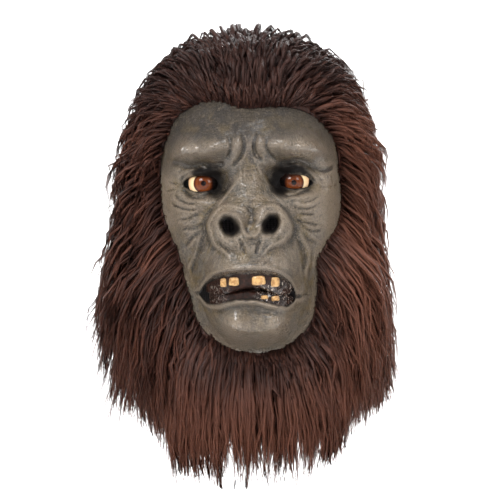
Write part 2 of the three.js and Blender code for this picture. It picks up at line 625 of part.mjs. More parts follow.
function rowLocks(row) {
  const made = [];
  for (let i = 0; i < row.count; i++) {
    const azimuth = (row.from + ((row.to - row.from) * i) / (row.count - 1)) * DEG;
    const sway = Math.sin((i + 1) * 2.4 + row.down * FUR_DROP);
    const z = CROWN_Z - row.down * FUR_DROP;
    const root = headPoint(z, azimuth, -PILE / 2);
    const outward = new THREE.Vector3(root.x, root.y, Math.max(0, z - WIDEST_Z)).normalize();
    const reach = row.out * FUR_DEPTH * (1 + sway / 6);
    const drop = row.drop * FUR_DROP * (1 + sway / 8);
    const tip = root.clone().addScaledVector(outward, reach).add(new THREE.Vector3(0, 0, -drop));
    const bend = root.clone().addScaledVector(outward, reach).add(new THREE.Vector3(0, 0, -drop / 3));
    made.push(lock(root, bend, tip, row.wide * LOCK_WIDTH, LOCK_THICKNESS));
  }
  return made;
}

const LONE_BEND_OUT = 0.6; // shares of the way to the tip that a lone lock has gone at its bend
const LONE_BEND_DOWN = 0.35;
function loneLock(l) {
  const root = headPoint(CROWN_Z - l.down * FUR_DROP, l.azimuth * DEG, -PILE / 2);
  const tip = new THREE.Vector3(l.tipX * FUR_SPREAD, l.tipY * FUR_SPREAD, CROWN_Z - l.tipDown * FUR_DROP);
  const bend = root.clone().lerp(tip, LONE_BEND_OUT);
  bend.z = mixed(root.z, tip.z, LONE_BEND_DOWN);
  return lock(root, bend, tip, l.wide * LOCK_WIDTH, l.wide * LOCK_THICKNESS);
}

// Regions that the fur's pieces keep to, with a seam between neighbours
const beardTop = faceZ(0.8);
const sideTop = CROWN_CUT_Z - seam;
const sideBack = BACK_SEAM_Y - seam;
const beardRegion = (grow) => {
  const half = BEARD_HALF_WIDTH + grow;
  return boxBetween(corner(-half, -FAR, -FAR - FUR_DROP), corner(half, grow, beardTop));
};
const sideRegion = (fromX, toX) => {
  const box = boxBetween(corner(fromX, -FAR, -FAR - FUR_DROP), corner(toX, sideBack, sideTop));
  return box.subtract(beardRegion(seam));
};
const REGIONS = {
  crown_fur: boxBetween(corner(-FAR, -FAR, CROWN_CUT_Z + seam), corner(FAR, FAR, FAR)),
  left_side_fur: sideRegion(-FAR, -seam),
  right_side_fur: sideRegion(seam, FAR),
  back_fur: boxBetween(corner(-FAR, BACK_SEAM_Y + seam, -FAR - FUR_DROP), corner(FAR, FAR, sideTop)),
  beard_fur: beardRegion(-seam),
};

const hideInset = hoodInset - GAP; // the hide lies on the hood, a little deeper than the rubber does
const hide = headShell(-PILE, hideInset);
const faceColumn = prismAlongY(grownOutline(GAP, FACE_SIDES), -FAR, 0);
const innerRings = headRings(hideInset, NECK_Z, HEAD_SIDES);
const innerTop = corner(0, 0, CROWN_Z - hideInset);
const insideHead = solid(ringsGeometry(innerRings, innerTop, corner(0, 0, NECK_Z)));
const locks = Object.fromEntries(Object.keys(REGIONS).map((name) => [name, []]));
for (const row of LOCK_ROWS) locks[row.piece].push(...rowLocks(row));
for (const l of LONE_LOCKS) locks[l.piece].push(loneLock(l));

const furs = {};
for (const [name, made] of Object.entries(locks)) {
  let body = hide;
  for (const l of made) body = body.add(l.subtract(insideHead));
  furs[name] = whole(body.subtract(faceColumn).intersect(REGIONS[name]));
}

const group = new THREE.Group();
group.name = "gorilla_mask";
function add(name, body, colour, roughness) {
  const material = new THREE.MeshStandardMaterial({ color: colour, roughness });
  const mesh = new THREE.Mesh(geometryOf(body), material);
  mesh.name = name;
  group.add(mesh);
}
for (const [name, region] of Object.entries(HOOD_PANELS)) add(name, hood.intersect(region), 0x3a3130, 0.9);
add("face_skin", face, 0x6e6455, 0.45);
add("left_eye", eye(HOLES[0]), 0xd8b890, 0.1);
add("right_eye", eye(HOLES[1]), 0xd8b890, 0.1);
add("upper_gum", whole(upperGum), 0x3a1c18, 0.15);
add("lower_gum", whole(lowerGum), 0x3a1c18, 0.15);
add("tongue", tongue, 0x5a2a22, 0.2);
for (const [name, tooth] of teeth) add(name, tooth, 0xcda064, 0.3);
for (const [name, fur] of Object.entries(furs)) add(name, fur, 0x4a302a, 0.8);

export default group;
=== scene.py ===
"""The looks of a gorilla mask: a painted rubber face, glass eyes, cast teeth and gums, and long combed hair.

Sizes are in millimetres in the surface functions, and become metres when a mesh is made. The frame is the
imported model's: +Z up, -Y out of the face, the origin in the middle of the inside of the crown.
"""

import bpy
import numpy as np
from mathutils import Matrix, Vector


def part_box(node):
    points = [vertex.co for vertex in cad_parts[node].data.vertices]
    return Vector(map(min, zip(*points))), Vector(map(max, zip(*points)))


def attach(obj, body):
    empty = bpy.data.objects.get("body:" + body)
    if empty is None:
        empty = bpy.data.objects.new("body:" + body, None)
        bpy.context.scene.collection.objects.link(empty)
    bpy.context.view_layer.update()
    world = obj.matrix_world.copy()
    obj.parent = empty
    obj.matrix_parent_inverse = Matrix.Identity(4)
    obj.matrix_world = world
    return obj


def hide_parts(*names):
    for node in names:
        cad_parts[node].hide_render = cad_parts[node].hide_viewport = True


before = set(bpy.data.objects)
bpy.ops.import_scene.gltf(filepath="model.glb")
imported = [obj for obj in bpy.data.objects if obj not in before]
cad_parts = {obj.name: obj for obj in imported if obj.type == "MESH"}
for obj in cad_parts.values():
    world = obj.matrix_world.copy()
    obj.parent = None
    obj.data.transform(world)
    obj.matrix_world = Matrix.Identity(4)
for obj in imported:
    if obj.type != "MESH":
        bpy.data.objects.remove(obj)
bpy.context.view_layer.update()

bl_info = {
    "name": "Gorilla mask",
    "version": (1, 0, 0),
    "blender": (4, 5, 0),
    "location": "View3D > Sidebar > Mask",
    "description": "Dresses the gorilla mask: face, eyes, mouth, hair, hood and a studio stage",
    "category": "Object",
}

MM = 0.001
DEG = np.pi / 180

# Head and face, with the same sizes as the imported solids
HEAD_HALF_WIDTH = 85.0
HEAD_FRONT = 106.0
HEAD_BACK = 108.0
HEAD_HEIGHT = 295.0
WIDEST_DOWN = 110.0
DOME_ROUND = 2.5
SIDE_TAPER = 0.15
FRONT_TAPER = 0.25
BACK_TAPER = 0.2
CROWN_Z = 5.6
NECK_Z = CROWN_Z - HEAD_HEIGHT
WIDEST_Z = CROWN_Z - WIDEST_DOWN
SKIN_WALL = 2.5

FACE_HALF_WIDTH = 80.0
FACE_HEIGHT = 212.0
HAIRLINE_Z = CROWN_Z - 62.0
FACE_CENTRE_Z = HAIRLINE_Z - 0.485 * FACE_HEIGHT
RELIEF = 20.0
MUZZLE_REACH = 36.0
MUZZLE_FLAT = 0.3
EDGE_FADE = 0.8
HOLLOW_FADE = 0.68
LAP_EDGE = 0.87

# Radius of the face's outline every 15 degrees from +X, in half face widths
FACE_OUTLINE = np.array([
    0.96, 1.05, 1.15, 1.33, 1.37, 1.32, 1.26, 1.42, 1.44, 1.29, 1.12, 1.0,
    0.9, 0.84, 0.88, 1.0, 1.2, 1.33, 1.37, 1.35, 1.22, 0.98, 0.82, 0.84,
])

# Muzzle and jaw: share of the face's height, half width in half face widths, rise in muzzle reaches
MUZZLE = np.array([
    (0.3, 0.2, 0.0), (0.37, 0.32, 0.04), (0.44, 0.46, 0.2), (0.51, 0.58, 0.4), (0.58, 0.64, 0.62),
    (0.64, 0.67, 0.86), (0.7, 0.69, 0.98), (0.76, 0.69, 0.97), (0.82, 0.67, 0.88), (0.88, 0.62, 0.93),
    (0.94, 0.54, 0.82), (0.98, 0.42, 0.6), (1.0, 0.34, 0.4),
])

# Mounds and hollows: x, share of the height, reach across, up and down (half face widths), turn in degrees,
# rise in reliefs, and a power that is 2 for a bell and 4 for a flat top
MOUNDS = {
    "brow_left": (-0.5, 0.16, 0.34, 0.19, 0.12, 4, 0.68, 3),
    "brow_right": (0.5, 0.165, 0.34, 0.19, 0.12, -4, 0.68, 3),
    "brow_middle": (0.0, 0.155, 0.2, 0.2, 0.15, 0, 0.24, 2),
    "frown_left": (-0.11, 0.17, 0.055, 0.15, 0.15, -12, 0.2, 2),
    "frown_right": (0.14, 0.175, 0.055, 0.15, 0.15, 12, 0.2, 2),
    "eye_band": (0.0, 0.302, 0.8, 0.16, 0.19, 0, -0.26, 4),
    "socket_left": (-0.5, 0.302, 0.27, 0.16, 0.16, 0, -0.2, 3),
    "socket_right": (0.48, 0.306, 0.27, 0.16, 0.16, 0, -0.2, 3),
    "inner_eye_left": (-0.34, 0.302, 0.13, 0.14, 0.16, 0, -0.3, 2),
    "inner_eye_right": (0.33, 0.304, 0.13, 0.14, 0.16, 0, -0.3, 2),
    "nose_bridge": (0.0, 0.32, 0.13, 0.2, 0.22, 0, 0.2, 2),
    "eye_bag_left": (-0.56, 0.372, 0.22, 0.055, 0.08, 0, 0.12, 2),
    "eye_bag_right": (0.52, 0.376, 0.22, 0.055, 0.08, 0, 0.12, 2),
    "cheek_left": (-0.7, 0.43, 0.2, 0.17, 0.22, 0, 0.25, 2),
    "cheek_right": (0.7, 0.43, 0.2, 0.17, 0.22, 0, 0.3, 2),
    "wing_left": (-0.25, 0.48, 0.2, 0.18, 0.22, 10, 0.5, 4),
    "wing_right": (0.24, 0.478, 0.2, 0.18, 0.22, -10, 0.5, 4),
    "nose_foot": (0.0, 0.555, 0.2, 0.13, 0.13, 0, 0.24, 3),
    "nostril_left": (-0.225, 0.487, 0.1, 0.11, 0.11, 30, -0.5, 3),
    "nostril_right": (0.212, 0.485, 0.1, 0.11, 0.11, -30, -0.5, 3),
    "nose_groove": (0.0, 0.428, 0.05, 0.07, 0.09, 0, -0.22, 2),
    "nose_tip": (0.012, 0.515, 0.06, 0.08, 0.06, 0, 0.2, 2),
    "lip_left": (-0.36, 0.63, 0.19, 0.15, 0.12, 0, 0.15, 2),
    "lip_right": (0.32, 0.63, 0.19, 0.15, 0.12, 0, 0.15, 2),
    "chin_left": (-0.25, 0.89, 0.16, 0.14, 0.14, 0, 0.12, 2),
    "chin_right": (0.21, 0.89, 0.16, 0.14, 0.14, 0, 0.12, 2),
}

# Mounds too small for the solids, in the same columns
FINE_MOUNDS = {
    "brow_roll_left": (-0.51, 0.165, 0.33, 0.095, 0.08, 3, 0.27, 2),
    "brow_roll_right": (0.55, 0.17, 0.36, 0.095, 0.08, -7, 0.27, 2),
    "brow_knob_left": (-0.67, 0.165, 0.12, 0.08, 0.08, 0, 0.24, 2),
    "brow_dip_left": (-0.5, 0.17, 0.06, 0.09, 0.09, 10, -0.08, 2),
    "brow_lump_left": (-0.36, 0.175, 0.15, 0.11, 0.11, 0, 0.12, 2),
    "brow_knob_right": (0.7, 0.185, 0.16, 0.085, 0.075, -8, 0.22, 2),
    "brow_dip_right": (0.5, 0.17, 0.06, 0.08, 0.08, -10, -0.08, 2),
    "brow_lump_right": (0.37, 0.17, 0.14, 0.11, 0.11, 0, 0.1, 2),
    "brow_tail_right": (0.88, 0.215, 0.12, 0.09, 0.1, -30, 0.12, 2),
    "forehead_left": (-0.46, 0.06, 0.4, 0.055, 0.11, -4, 0.12, 2),
    "forehead_right": (0.48, 0.065, 0.4, 0.055, 0.11, 4, 0.12, 2),
    "groove_fill": (0.0, 0.43, 0.06, 0.06, 0.09, 0, 0.24, 2),
    "glabella_dent": (0.04, 0.2, 0.08, 0.2, 0.16, 0, -0.1, 2),
    "socket_inner_left": (-0.33, 0.29, 0.14, 0.14, 0.17, 12, -0.22, 3),
    "socket_inner_right": (0.3, 0.295, 0.14, 0.14, 0.17, -12, -0.22, 3),
    "lid_pad_left": (-0.6, 0.262, 0.2, 0.06, 0.05, -6, 0.1, 2),
    "lid_pad_right": (0.62, 0.258, 0.22, 0.06, 0.05, -14, 0.12, 2),
    "nose_ball_left": (-0.1, 0.455, 0.08, 0.09, 0.1, 10, 0.1, 2),
    "nose_ball_right": (0.105, 0.455, 0.08, 0.09, 0.1, -10, 0.1, 2),
    "lip_ball_left": (-0.42, 0.655, 0.16, 0.07, 0.06, 14, 0.1, 2),
    "lip_ball_right": (0.36, 0.66, 0.17, 0.07, 0.06, -14, 0.1, 2),
    "side_lip_left": (-0.44, 0.6, 0.14, 0.14, 0.1, 20, 0.08, 2),
    "side_lip_right": (0.42, 0.6, 0.14, 0.14, 0.1, -20, 0.08, 2),
    "chin_dip": (-0.08, 0.88, 0.1, 0.1, 0.12, 0, -0.05, 2),
    "chin_knob_left": (-0.31, 0.885, 0.12, 0.12, 0.12, 0, 0.06, 2),
    "chin_knob_right": (0.19, 0.89, 0.12, 0.12, 0.12, 0, 0.06, 2),
    "cheek_bone_left": (-0.84, 0.36, 0.1, 0.12, 0.12, 0, 0.08, 2),
    "cheek_bone_right": (0.9, 0.33, 0.1, 0.16, 0.14, 0, 0.12, 2),
    "cheek_pad_right": (0.66, 0.4, 0.14, 0.09, 0.1, -20, 0.1, 2),
    "cheek_pad_left": (-0.68, 0.42, 0.13, 0.1, 0.1, 20, 0.08, 2),
}

# Ridges and grooves along a smooth line: half width, rise and the rise of the soft shoulders beside it in
# millimetres, and the line's points as x and z in millimetres
STROKES = {
    "under_brow_left": (3.2, -5.0, 0.8, (
        (-64.4, -95), (-59.5, -101.2), (-49.5, -104.5), (-35.9, -104.7), (-24, -105.6), (-16.3, -103.9))),
    "under_brow_right": (3.2, -5.0, 0.8, (
        (20.2, -105.8), (28.8, -104.2), (40.7, -105.5), (52.4, -108.9), (64.2, -111.7), (73.2, -109.2),
        (75.6, -103.7))),
    "brow_split_left": (1.5, -0.9, 0.3, ((-48.7, -86.3), (-46.4, -93.2), (-40.8, -101.1))),
    "brow_side_left": (1.4, -2.0, 0.5, ((-16.9, -79.2), (-14.3, -87), (-15.1, -95.4), (-18.4, -102.9))),
    "frown_left": (1.4, -2.6, 0.6, (
        (-6.6, -77.1), (-3.5, -84), (-3.3, -90.8), (-5.8, -98.4), (-10.4, -105), (-13.9, -109.1))),
    "frown_roll_left": (4.2, 0.7, 0.0, ((-10.6, -80.3), (-8.6, -88.1), (-10, -96.5), (-13.7, -103.2))),
    "frown_right": (1.4, -2.6, 0.6, (
        (9.9, -77.8), (6.2, -85.3), (5.5, -92.9), (7.7, -100.7), (13.4, -106.5))),
    "frown_roll_right": (4.2, 0.7, 0.0, ((13.6, -81.4), (11.3, -88.9), (12.1, -96.6), (16.9, -103.6))),
    "brow_side_right": (1.4, -2.0, 0.5, ((19.2, -83.3), (16.6, -90.9), (18.5, -99.5), (25.3, -106))),
    "brow_dent_right": (1.0, -0.7, 0.1, ((34.5, -91.6), (36.4, -95.1))),
    "brow_crease_right": (1.6, -0.9, 0.3, ((34.2, -97.9), (42.5, -103.4), (54.2, -108.3))),
    "streak_left": (1.3, 0.9, 0.0, ((-4.8, -102.7), (-6.3, -109.4), (-7.1, -115.9))),
    "streak_right": (1.3, 0.9, 0.0, ((4.8, -100.6), (6.9, -107.5), (10.4, -115.6))),
    "bridge_edge_left": (1.5, 1.0, 0.0, (
        (-7.8, -115.8), (-17.3, -128.5), (-27.1, -138.3), (-36, -145.6), (-45.7, -155.4))),
    "bridge_edge_right": (1.5, 1.0, 0.0, (
        (10.9, -116.3), (18.6, -127.5), (27.3, -139), (34.5, -148.7), (41.7, -159.2))),
    "bridge_side_left": (3.4, -0.7, 0.0, (
        (-11.7, -116), (-20.7, -127.5), (-29.6, -136.5), (-38.4, -142.9))),
    "bridge_side_right": (3.4, -0.7, 0.0, ((14.6, -116.8), (22.7, -127.7), (32.4, -139.2), (39.7, -148))),
    "wing_ring_left": (2.7, 2.2, 0.0, (
        (-1.5, -155.6), (-3.7, -147.8), (-10, -143.3), (-18.8, -141.2), (-27, -143.4), (-33.4, -150.4),
        (-35.4, -159.2), (-33.2, -168.7), (-27.1, -177.4))),
    "wing_ring_right": (2.7, 2.2, 0.0, (
        (2.5, -153.7), (7.9, -146.3), (15.2, -143.6), (23.6, -144.8), (29.5, -150.5), (32.4, -158.8),
        (31.2, -166.9), (26.1, -174.7), (21.3, -179.6))),
    "septum_left": (1.9, 3.2, 0.0, ((-13.5, -146.6), (-10, -155.6), (-4.5, -165.3), (-0.3, -169.6))),
    "septum_right": (1.9, 3.2, 0.0, ((15.9, -146.5), (9.8, -156.9), (4, -165.7), (0.1, -169.6))),
    "nose_groove": (4.5, -2.2, 0.0, ((-0.2, -141.6), (-0.2, -149.9), (-0.1, -157.3))),
    "wing_crease_left": (2.0, -1.5, 0.2, (
        (-25.5, -139.2), (-34.1, -143.1), (-38.7, -150.6), (-39.2, -160.7), (-36.2, -171.1))),
    "wing_crease_right": (2.0, -1.5, 0.2, (
        (25.5, -141.8), (33.7, -147.8), (37, -157.3), (35.9, -167.4), (31.6, -176.6))),
    "lip_fold_left": (1.7, 2.0, 0.0, (
        (-35.5, -158.2), (-34.1, -167.5), (-29.5, -175.8), (-21.6, -182.8), (-16.7, -187.2))),
    "lip_fold_right": (1.7, 2.0, 0.0, (
        (33.8, -160.9), (28.9, -170.3), (20.9, -176.4), (12.9, -182.3), (8, -188.7))),
    "lip_fold_in_left": (1.5, -1.0, 0.0, ((-30.1, -166.2), (-24.8, -175.7), (-16.9, -182.2))),
    "lip_fold_in_right": (1.5, -1.0, 0.0, ((25.5, -168.6), (18.8, -178.4), (12.4, -184.3))),
    "philtrum_left": (1.6, -1.6, 0.4, ((-11.6, -166.2), (-7.8, -174.9), (-7.3, -185))),
    "philtrum_right": (1.6, -1.6, 0.4, ((6.4, -170.1), (3.9, -176.9), (2.3, -185.4))),
    "under_wing_left": (2.6, -1.5, 0.0, ((-26.1, -163.3), (-18.7, -170.5), (-11.8, -171.6))),
    "under_wing_right": (2.6, -1.5, 0.0, ((27.9, -165.6), (19.1, -172.2), (9.8, -172.6))),
    "upper_lip_left": (1.6, 0.8, 0.0, (
        (-44.9, -203.9), (-38.6, -199.8), (-30.7, -197.1), (-19.8, -195.4), (-15.2, -195.3))),
    "upper_lip_right": (1.6, 0.8, 0.0, ((12.6, -196.8), (20.3, -198.1), (27.9, -201.5), (35.4, -207.7))),
    "upper_lip_line": (1.3, -0.6, 0.0, (
        (-43.3, -201.2), (-33.7, -195.4), (-19.7, -192.6), (-2.7, -192.4), (14.3, -194.1), (26.5, -198.3),
        (34, -203))),
    "lower_lip_roll": (1.9, 1.5, 0.0, (
        (-40.5, -225.7), (-28.9, -225.9), (-16.4, -224.3), (-5.6, -224.5), (6.7, -225.9), (19, -229),
        (28.9, -231.9))),
    "under_lip": (3.0, -1.4, 0.0, (
        (-42.2, -230.3), (-27.6, -231.3), (-5.9, -230.3), (15.6, -234.4), (31, -236.9))),
    "corner_left": (1.3, -1.5, 0.3, ((-46.2, -215), (-52.4, -215), (-57.7, -214.2))),
    "corner_right": (1.3, -1.5, 0.3, ((35.1, -220.8), (41, -220), (46.4, -219.8))),
    "corner_roll_left": (2.2, 1.2, 0.0, ((-49.9, -211.7), (-52.5, -217), (-50.4, -222.5))),
    "corner_roll_right": (2.2, 1.2, 0.0, ((39.6, -216.4), (41.7, -221.1), (39.2, -226.4))),
    "cheek_ridge_left_a": (1.5, 1.69, 0.0, (
        (-39.9, -159.6), (-47.4, -171.6), (-53.4, -185.3), (-56.8, -200.6))),
    "cheek_ridge_left_b": (1.3, 1.04, 0.0, ((-45.5, -164), (-54.4, -172.8), (-62.3, -177.1))),
    "cheek_groove_left_a": (1.8, -1.3, 0.0, (
        (-36.8, -159.7), (-43.9, -172.5), (-49.6, -187), (-52.3, -202.3))),
    "cheek_groove_left_b": (1.4, -0.9, 0.0, ((-45, -169.4), (-51.6, -179.2), (-58.3, -191.2))),
    "cheek_ridge_right_a": (1.6, 1.82, 0.0, (
        (38.6, -161.4), (43.1, -170.9), (48.1, -182), (48.8, -191.3), (46.1, -202), (48.3, -211.4))),
    "cheek_groove_right_a": (1.9, -1.4, 0.0, (
        (35.7, -164.4), (41.3, -177), (44.2, -189.5), (41.8, -201.8))),
    "cheek_groove_right_b": (1.4, -0.9, 0.0, ((45.5, -169.5), (52.9, -176.8), (58.2, -180.9))),
    "cheek_ridge_right_b": (1.3, 1.04, 0.0, ((47.9, -168), (55.4, -174.5), (61.4, -177.1))),
    "cheek_right_arc_a": (1.3, -1.35, 0.52, (
        (36.1, -151.3), (43.5, -157.6), (51.9, -160.5), (60.4, -159.1))),
    "cheek_right_arc_b": (1.3, -1.22, 0.52, (
        (38.5, -155.6), (45.8, -162.8), (54.2, -165.7), (61.9, -164.3))),
    "cheek_right_arc_c": (1.2, -1.08, 0.45, ((40.6, -146.4), (48.9, -151), (59.1, -151.4))),
    "cheek_left_arc_a": (1.3, -1.22, 0.52, ((-38.8, -152.3), (-48.4, -158.6), (-60.4, -159.8))),
    "cheek_left_arc_b": (1.3, -1.08, 0.45, ((-41.9, -145.3), (-53.2, -151.6), (-65.1, -151.1))),
    "cheek_left_arc_c": (1.3, -1.22, 0.52, ((-44.3, -162.2), (-52.3, -168.7), (-61.1, -176))),
    "lid_left_a": (1.4, -1.5, 0.9, ((-59.9, -118.2), (-54.9, -112.1), (-45.4, -109.4), (-35.2, -109))),
    "lid_left_b": (1.4, -0.9, 0.6, ((-60.8, -110.5), (-53, -106.5), (-41.1, -107.1))),
    "bag_left_a": (1.3, -1.35, 0.75, ((-58.8, -124.2), (-50.6, -131), (-39.7, -133.2))),
    "bag_left_b": (1.3, -1.08, 0.6, ((-65.7, -126.4), (-57.6, -134.4), (-45.9, -138.3))),
    "bag_left_c": (1.3, -0.94, 0.6, ((-68.6, -132.2), (-59.5, -140.3), (-47.8, -145.1))),
    "crow_left_a": (1.1, -0.94, 0.3, ((-59.5, -119.9), (-66.2, -117.9), (-71.2, -115.1))),
    "crow_left_b": (1.1, -0.81, 0.3, ((-61.4, -123.2), (-68.2, -123.7), (-73.4, -125.2))),
    "lid_right_a": (1.4, -1.5, 0.9, ((33.5, -112.9), (43.8, -112.5), (52.4, -116.8), (59.3, -126.8))),
    "lid_right_b": (1.4, -1.0, 0.7, ((40.5, -109.4), (51.5, -111.1), (60.6, -117.1), (65.3, -126.2))),
    "bag_right_a": (1.3, -1.35, 0.75, ((29.2, -133.1), (41.1, -135.3), (53.2, -130.7))),
    "bag_right_b": (1.3, -1.08, 0.6, ((32.4, -138.3), (46, -139.8), (59.8, -135.3))),
    "bag_right_c": (1.3, -0.81, 0.6, ((37.3, -143.7), (50.9, -144.3), (64.7, -139.8))),
    "crow_right_a": (1.1, -0.81, 0.3, ((58.6, -122.5), (65.5, -120.2), (71.6, -118.8))),
    "crow_right_b": (1.1, -0.81, 0.3, ((59.3, -127.6), (66.9, -128.8), (73.7, -127.4))),
}

# Patches of fine parallel creases: middle x and z, half width and height, turn in degrees, spacing of the
# creases and their depth in millimetres, and how far they bow
PATCHES = (
    (3, -131, 26, 15, 0, 3.4, 0.68, 0.010), (-57, -140, 15, 13, -16, 2.9, 0.75, 0.012),
    (60, -138, 17, 12, 14, 2.9, 0.75, 0.012), (-58, -164, 13, 17, 40, 3.0, 0.75, 0.006),
    (59, -157, 17, 15, -14, 3.1, 0.98, 0.014), (2, -197, 20, 6, 90, 2.7, 0.90, 0.004),
    (-36, -178, 13, 20, 62, 3.4, 0.60, 0.004), (33, -180, 13, 20, -62, 3.4, 0.60, 0.004),
    (-52, -206, 10, 26, 74, 3.2, 0.68, 0.004), (47, -208, 11, 28, -78, 3.0, 0.68, 0.004),
    (-52, -110, 18, 6, -4, 2.4, 0.52, 0.010), (52, -111, 20, 7, 8, 2.4, 0.68, 0.012),
    (-5, -224, 34, 5, 90, 3.1, 0.45, 0.003), (2, -68, 46, 9, 0, 3.6, 0.38, 0.006),
    (4, -104, 9, 14, 84, 3.0, 0.60, 0.004), (-10, -180, 9, 12, 76, 2.6, 0.52, 0.004),
    (12, -182, 9, 12, -76, 2.6, 0.52, 0.004),
)

# Edge of the lips from the left corner to the right: x in half face widths, upper and lower edge as shares
LIP_EDGES = np.array([
    (-0.5875, 0.7476, 0.749), (-0.55, 0.729, 0.769), (-0.5, 0.712, 0.785), (-0.42, 0.696, 0.789),
    (-0.34, 0.687, 0.785), (-0.26, 0.684, 0.777), (-0.15, 0.682, 0.7745), (-0.05, 0.682, 0.774),
    (0.05, 0.684, 0.78), (0.13, 0.687, 0.789), (0.21, 0.6925, 0.798), (0.29, 0.702, 0.805),
    (0.35, 0.712, 0.807), (0.4, 0.729, 0.799), (0.43, 0.752, 0.788), (0.445, 0.7736, 0.7778),
])

# Eye openings: centre, half width, upper and lower lid's height, and turn in degrees (millimetres)
LEFT_EYE = {
    "x": -42.6, "z": -120.6, "wide": 14.4, "up": 6.8, "low": 6.0, "turn": -3.0, "pupil": (-39.2, -120.4),
}
RIGHT_EYE = {
    "x": 41.0, "z": -123.0, "wide": 14.2, "up": 5.8, "low": 4.9, "turn": -3.0, "pupil": (38.6, -123.0),
}
EYE_RADIUS = 15.5
CORNEA = (6.4, 0.9)  # radius and height of the clear cap over the pupil

# Nostrils: middle x and z, half width and height, and turn in degrees
NOSTRILS = ((-19.2, -158.0, 7.0, 9.4, 30.0), (17.4, -158.0, 6.6, 9.0, -30.0))

# Black round the eyes and in the nostrils, partly paint and partly painted shade: middle x and z, half width
# and height, and turn in degrees
BLACK_PAINT_AND_SHADE_SPOTS = (
    (-31.5, -119.0, 12.5, 16.0, 14.0), (-38.0, -110.5, 13.0, 4.6, 4.0), (-41.0, -121.0, 16.8, 8.6, -3.0),
    (28.0, -120.0, 11.5, 16.5, -12.0), (40.0, -111.5, 15.0, 5.4, -12.0), (40.5, -123.0, 17.0, 7.8, -3.0),
    (-18.4, -158.5, 8.4, 10.6, 30.0), (16.6, -158.5, 8.0, 10.2, -30.0),
)


def smooth(a, b, t):
    """0 below a, 1 above b, and an even curve between."""
    s = np.clip((t - a) / (b - a), 0, 1)
    return s * s * (3 - 2 * s)


def bell(t):
    """1 at 0 and falling evenly on both sides, as exp(-t squared)."""
    return np.exp(-(t**2))


def turned(x, z, turn):
    """The offsets x and z along two axes that are turned by an angle in degrees."""
    c, s = np.cos(turn * DEG), np.sin(turn * DEG)
    return x * c + z * s, z * c - x * s


def circle(count):
    """Even angles round one turn."""
    return np.linspace(0, 2 * np.pi, count, endpoint=False)


def squared_off(wave, power):
    """A wave with its sign kept and its size raised to a power below 1, which squares off a round section."""
    return np.sign(wave) * np.abs(wave) ** power


def head_reach(z, reach, taper, inset=0.0):
    """Half width or reach of the head at a level: a rounded dome above its widest level, a taper below."""
    above = np.clip((z - WIDEST_Z) / (CROWN_Z - inset - WIDEST_Z), 0, 1)
    dome = (reach - inset) * np.maximum(0, 1 - above ** DOME_ROUND) ** (1 / DOME_ROUND)
    below = np.clip((z - WIDEST_Z) / (NECK_Z - WIDEST_Z), 0, 1)
    return np.where(z > WIDEST_Z, dome, reach * (1 - taper * (1 - np.cos(np.pi * below)) / 2) - inset)


def head_point(z, azimuth, inset=0.0):
    """Point of the head at a level and an azimuth from the front towards +X, as three columns."""
    front = head_reach(z, HEAD_FRONT, FRONT_TAPER, inset)
    back = head_reach(z, HEAD_BACK, BACK_TAPER, inset)
    half = head_reach(z, HEAD_HALF_WIDTH, SIDE_TAPER, inset)
    reach = np.where(np.cos(azimuth) > 0, front, back)
    return np.stack([half * np.sin(azimuth), -reach * np.cos(azimuth), z + 0 * azimuth], -1)


def outline_radius(angle):
    """Radius of the face's outline: a smooth closed curve through the table's radii."""
    count = len(FACE_OUTLINE)
    turns = angle / (360 * DEG / count)
    i = np.floor(turns).astype(int)
    s = turns - i
    p, a, b, q = (FACE_OUTLINE[(i + k) % count] for k in (-1, 0, 1, 2))
    cubic = (2 * p - 5 * a + 4 * b - q) * s**2 + (3 * (a - b) + q - p) * s**3
    return 0.5 * (2 * a + (b - p) * s + cubic) * FACE_HALF_WIDTH


def column(table, k, t):
    """A table's column at t, smooth between rows: cubic pieces with the slopes of the neighbouring rows."""
    xs, ys = table[:, 0], table[:, k]
    slopes = np.gradient(ys, xs)
    i = np.clip(np.searchsorted(xs, t) - 1, 0, len(xs) - 2)
    span = xs[i + 1] - xs[i]
    s = np.clip((t - xs[i]) / span, 0, 1)
    bend = s * (1 - s) * span
    rise = ys[i] + (ys[i + 1] - ys[i]) * s * s * (3 - 2 * s)
    return rise + bend * ((1 - s) * slopes[i] - s * slopes[i + 1])


def mound(spec, x, z):
    """A bell or flat-topped mound over an ellipse, its height falling as exp(-r to the mound's power)."""
    mx, down, wide, up, low, turn, rise, power = spec
    across, climb = turned(x - mx * FACE_HALF_WIDTH, z - (HAIRLINE_Z - down * FACE_HEIGHT), turn)
    across = across / (wide * FACE_HALF_WIDTH)
    climb = climb / (np.where(climb > 0, up, low) * FACE_HALF_WIDTH)
    return rise * RELIEF * np.exp(-((across**2 + climb**2) ** (power / 2)))


LINE_STEPS = 5  # straight pieces between two points of a stroke
LINE_TAPER = 0.22  # share of a stroke's length over which each end fades in
SHOULDER_OFF = 2.3  # how far the shoulders stand from the line and how wide they are, in its half widths
SHOULDER_WIDE = 1.2


def smooth_line(points):
    """A smooth line through the points: cubic pieces with the neighbours' slopes."""
    p = np.concatenate([points[:1] * 2 - points[1:2], points, points[-1:] * 2 - points[-2:-1]])
    t = np.linspace(0, 1, LINE_STEPS, endpoint=False)[:, None]
    pieces = []
    for a, b, c, d in zip(p[:-3], p[1:-2], p[2:-1], p[3:]):
        curve = (2 * a - 5 * b + 4 * c - d) * t**2 + (3 * (b - c) + d - a) * t**3
        pieces.append(0.5 * (2 * b + (c - a) * t + curve))
    return np.concatenate([*pieces, points[-1:]])


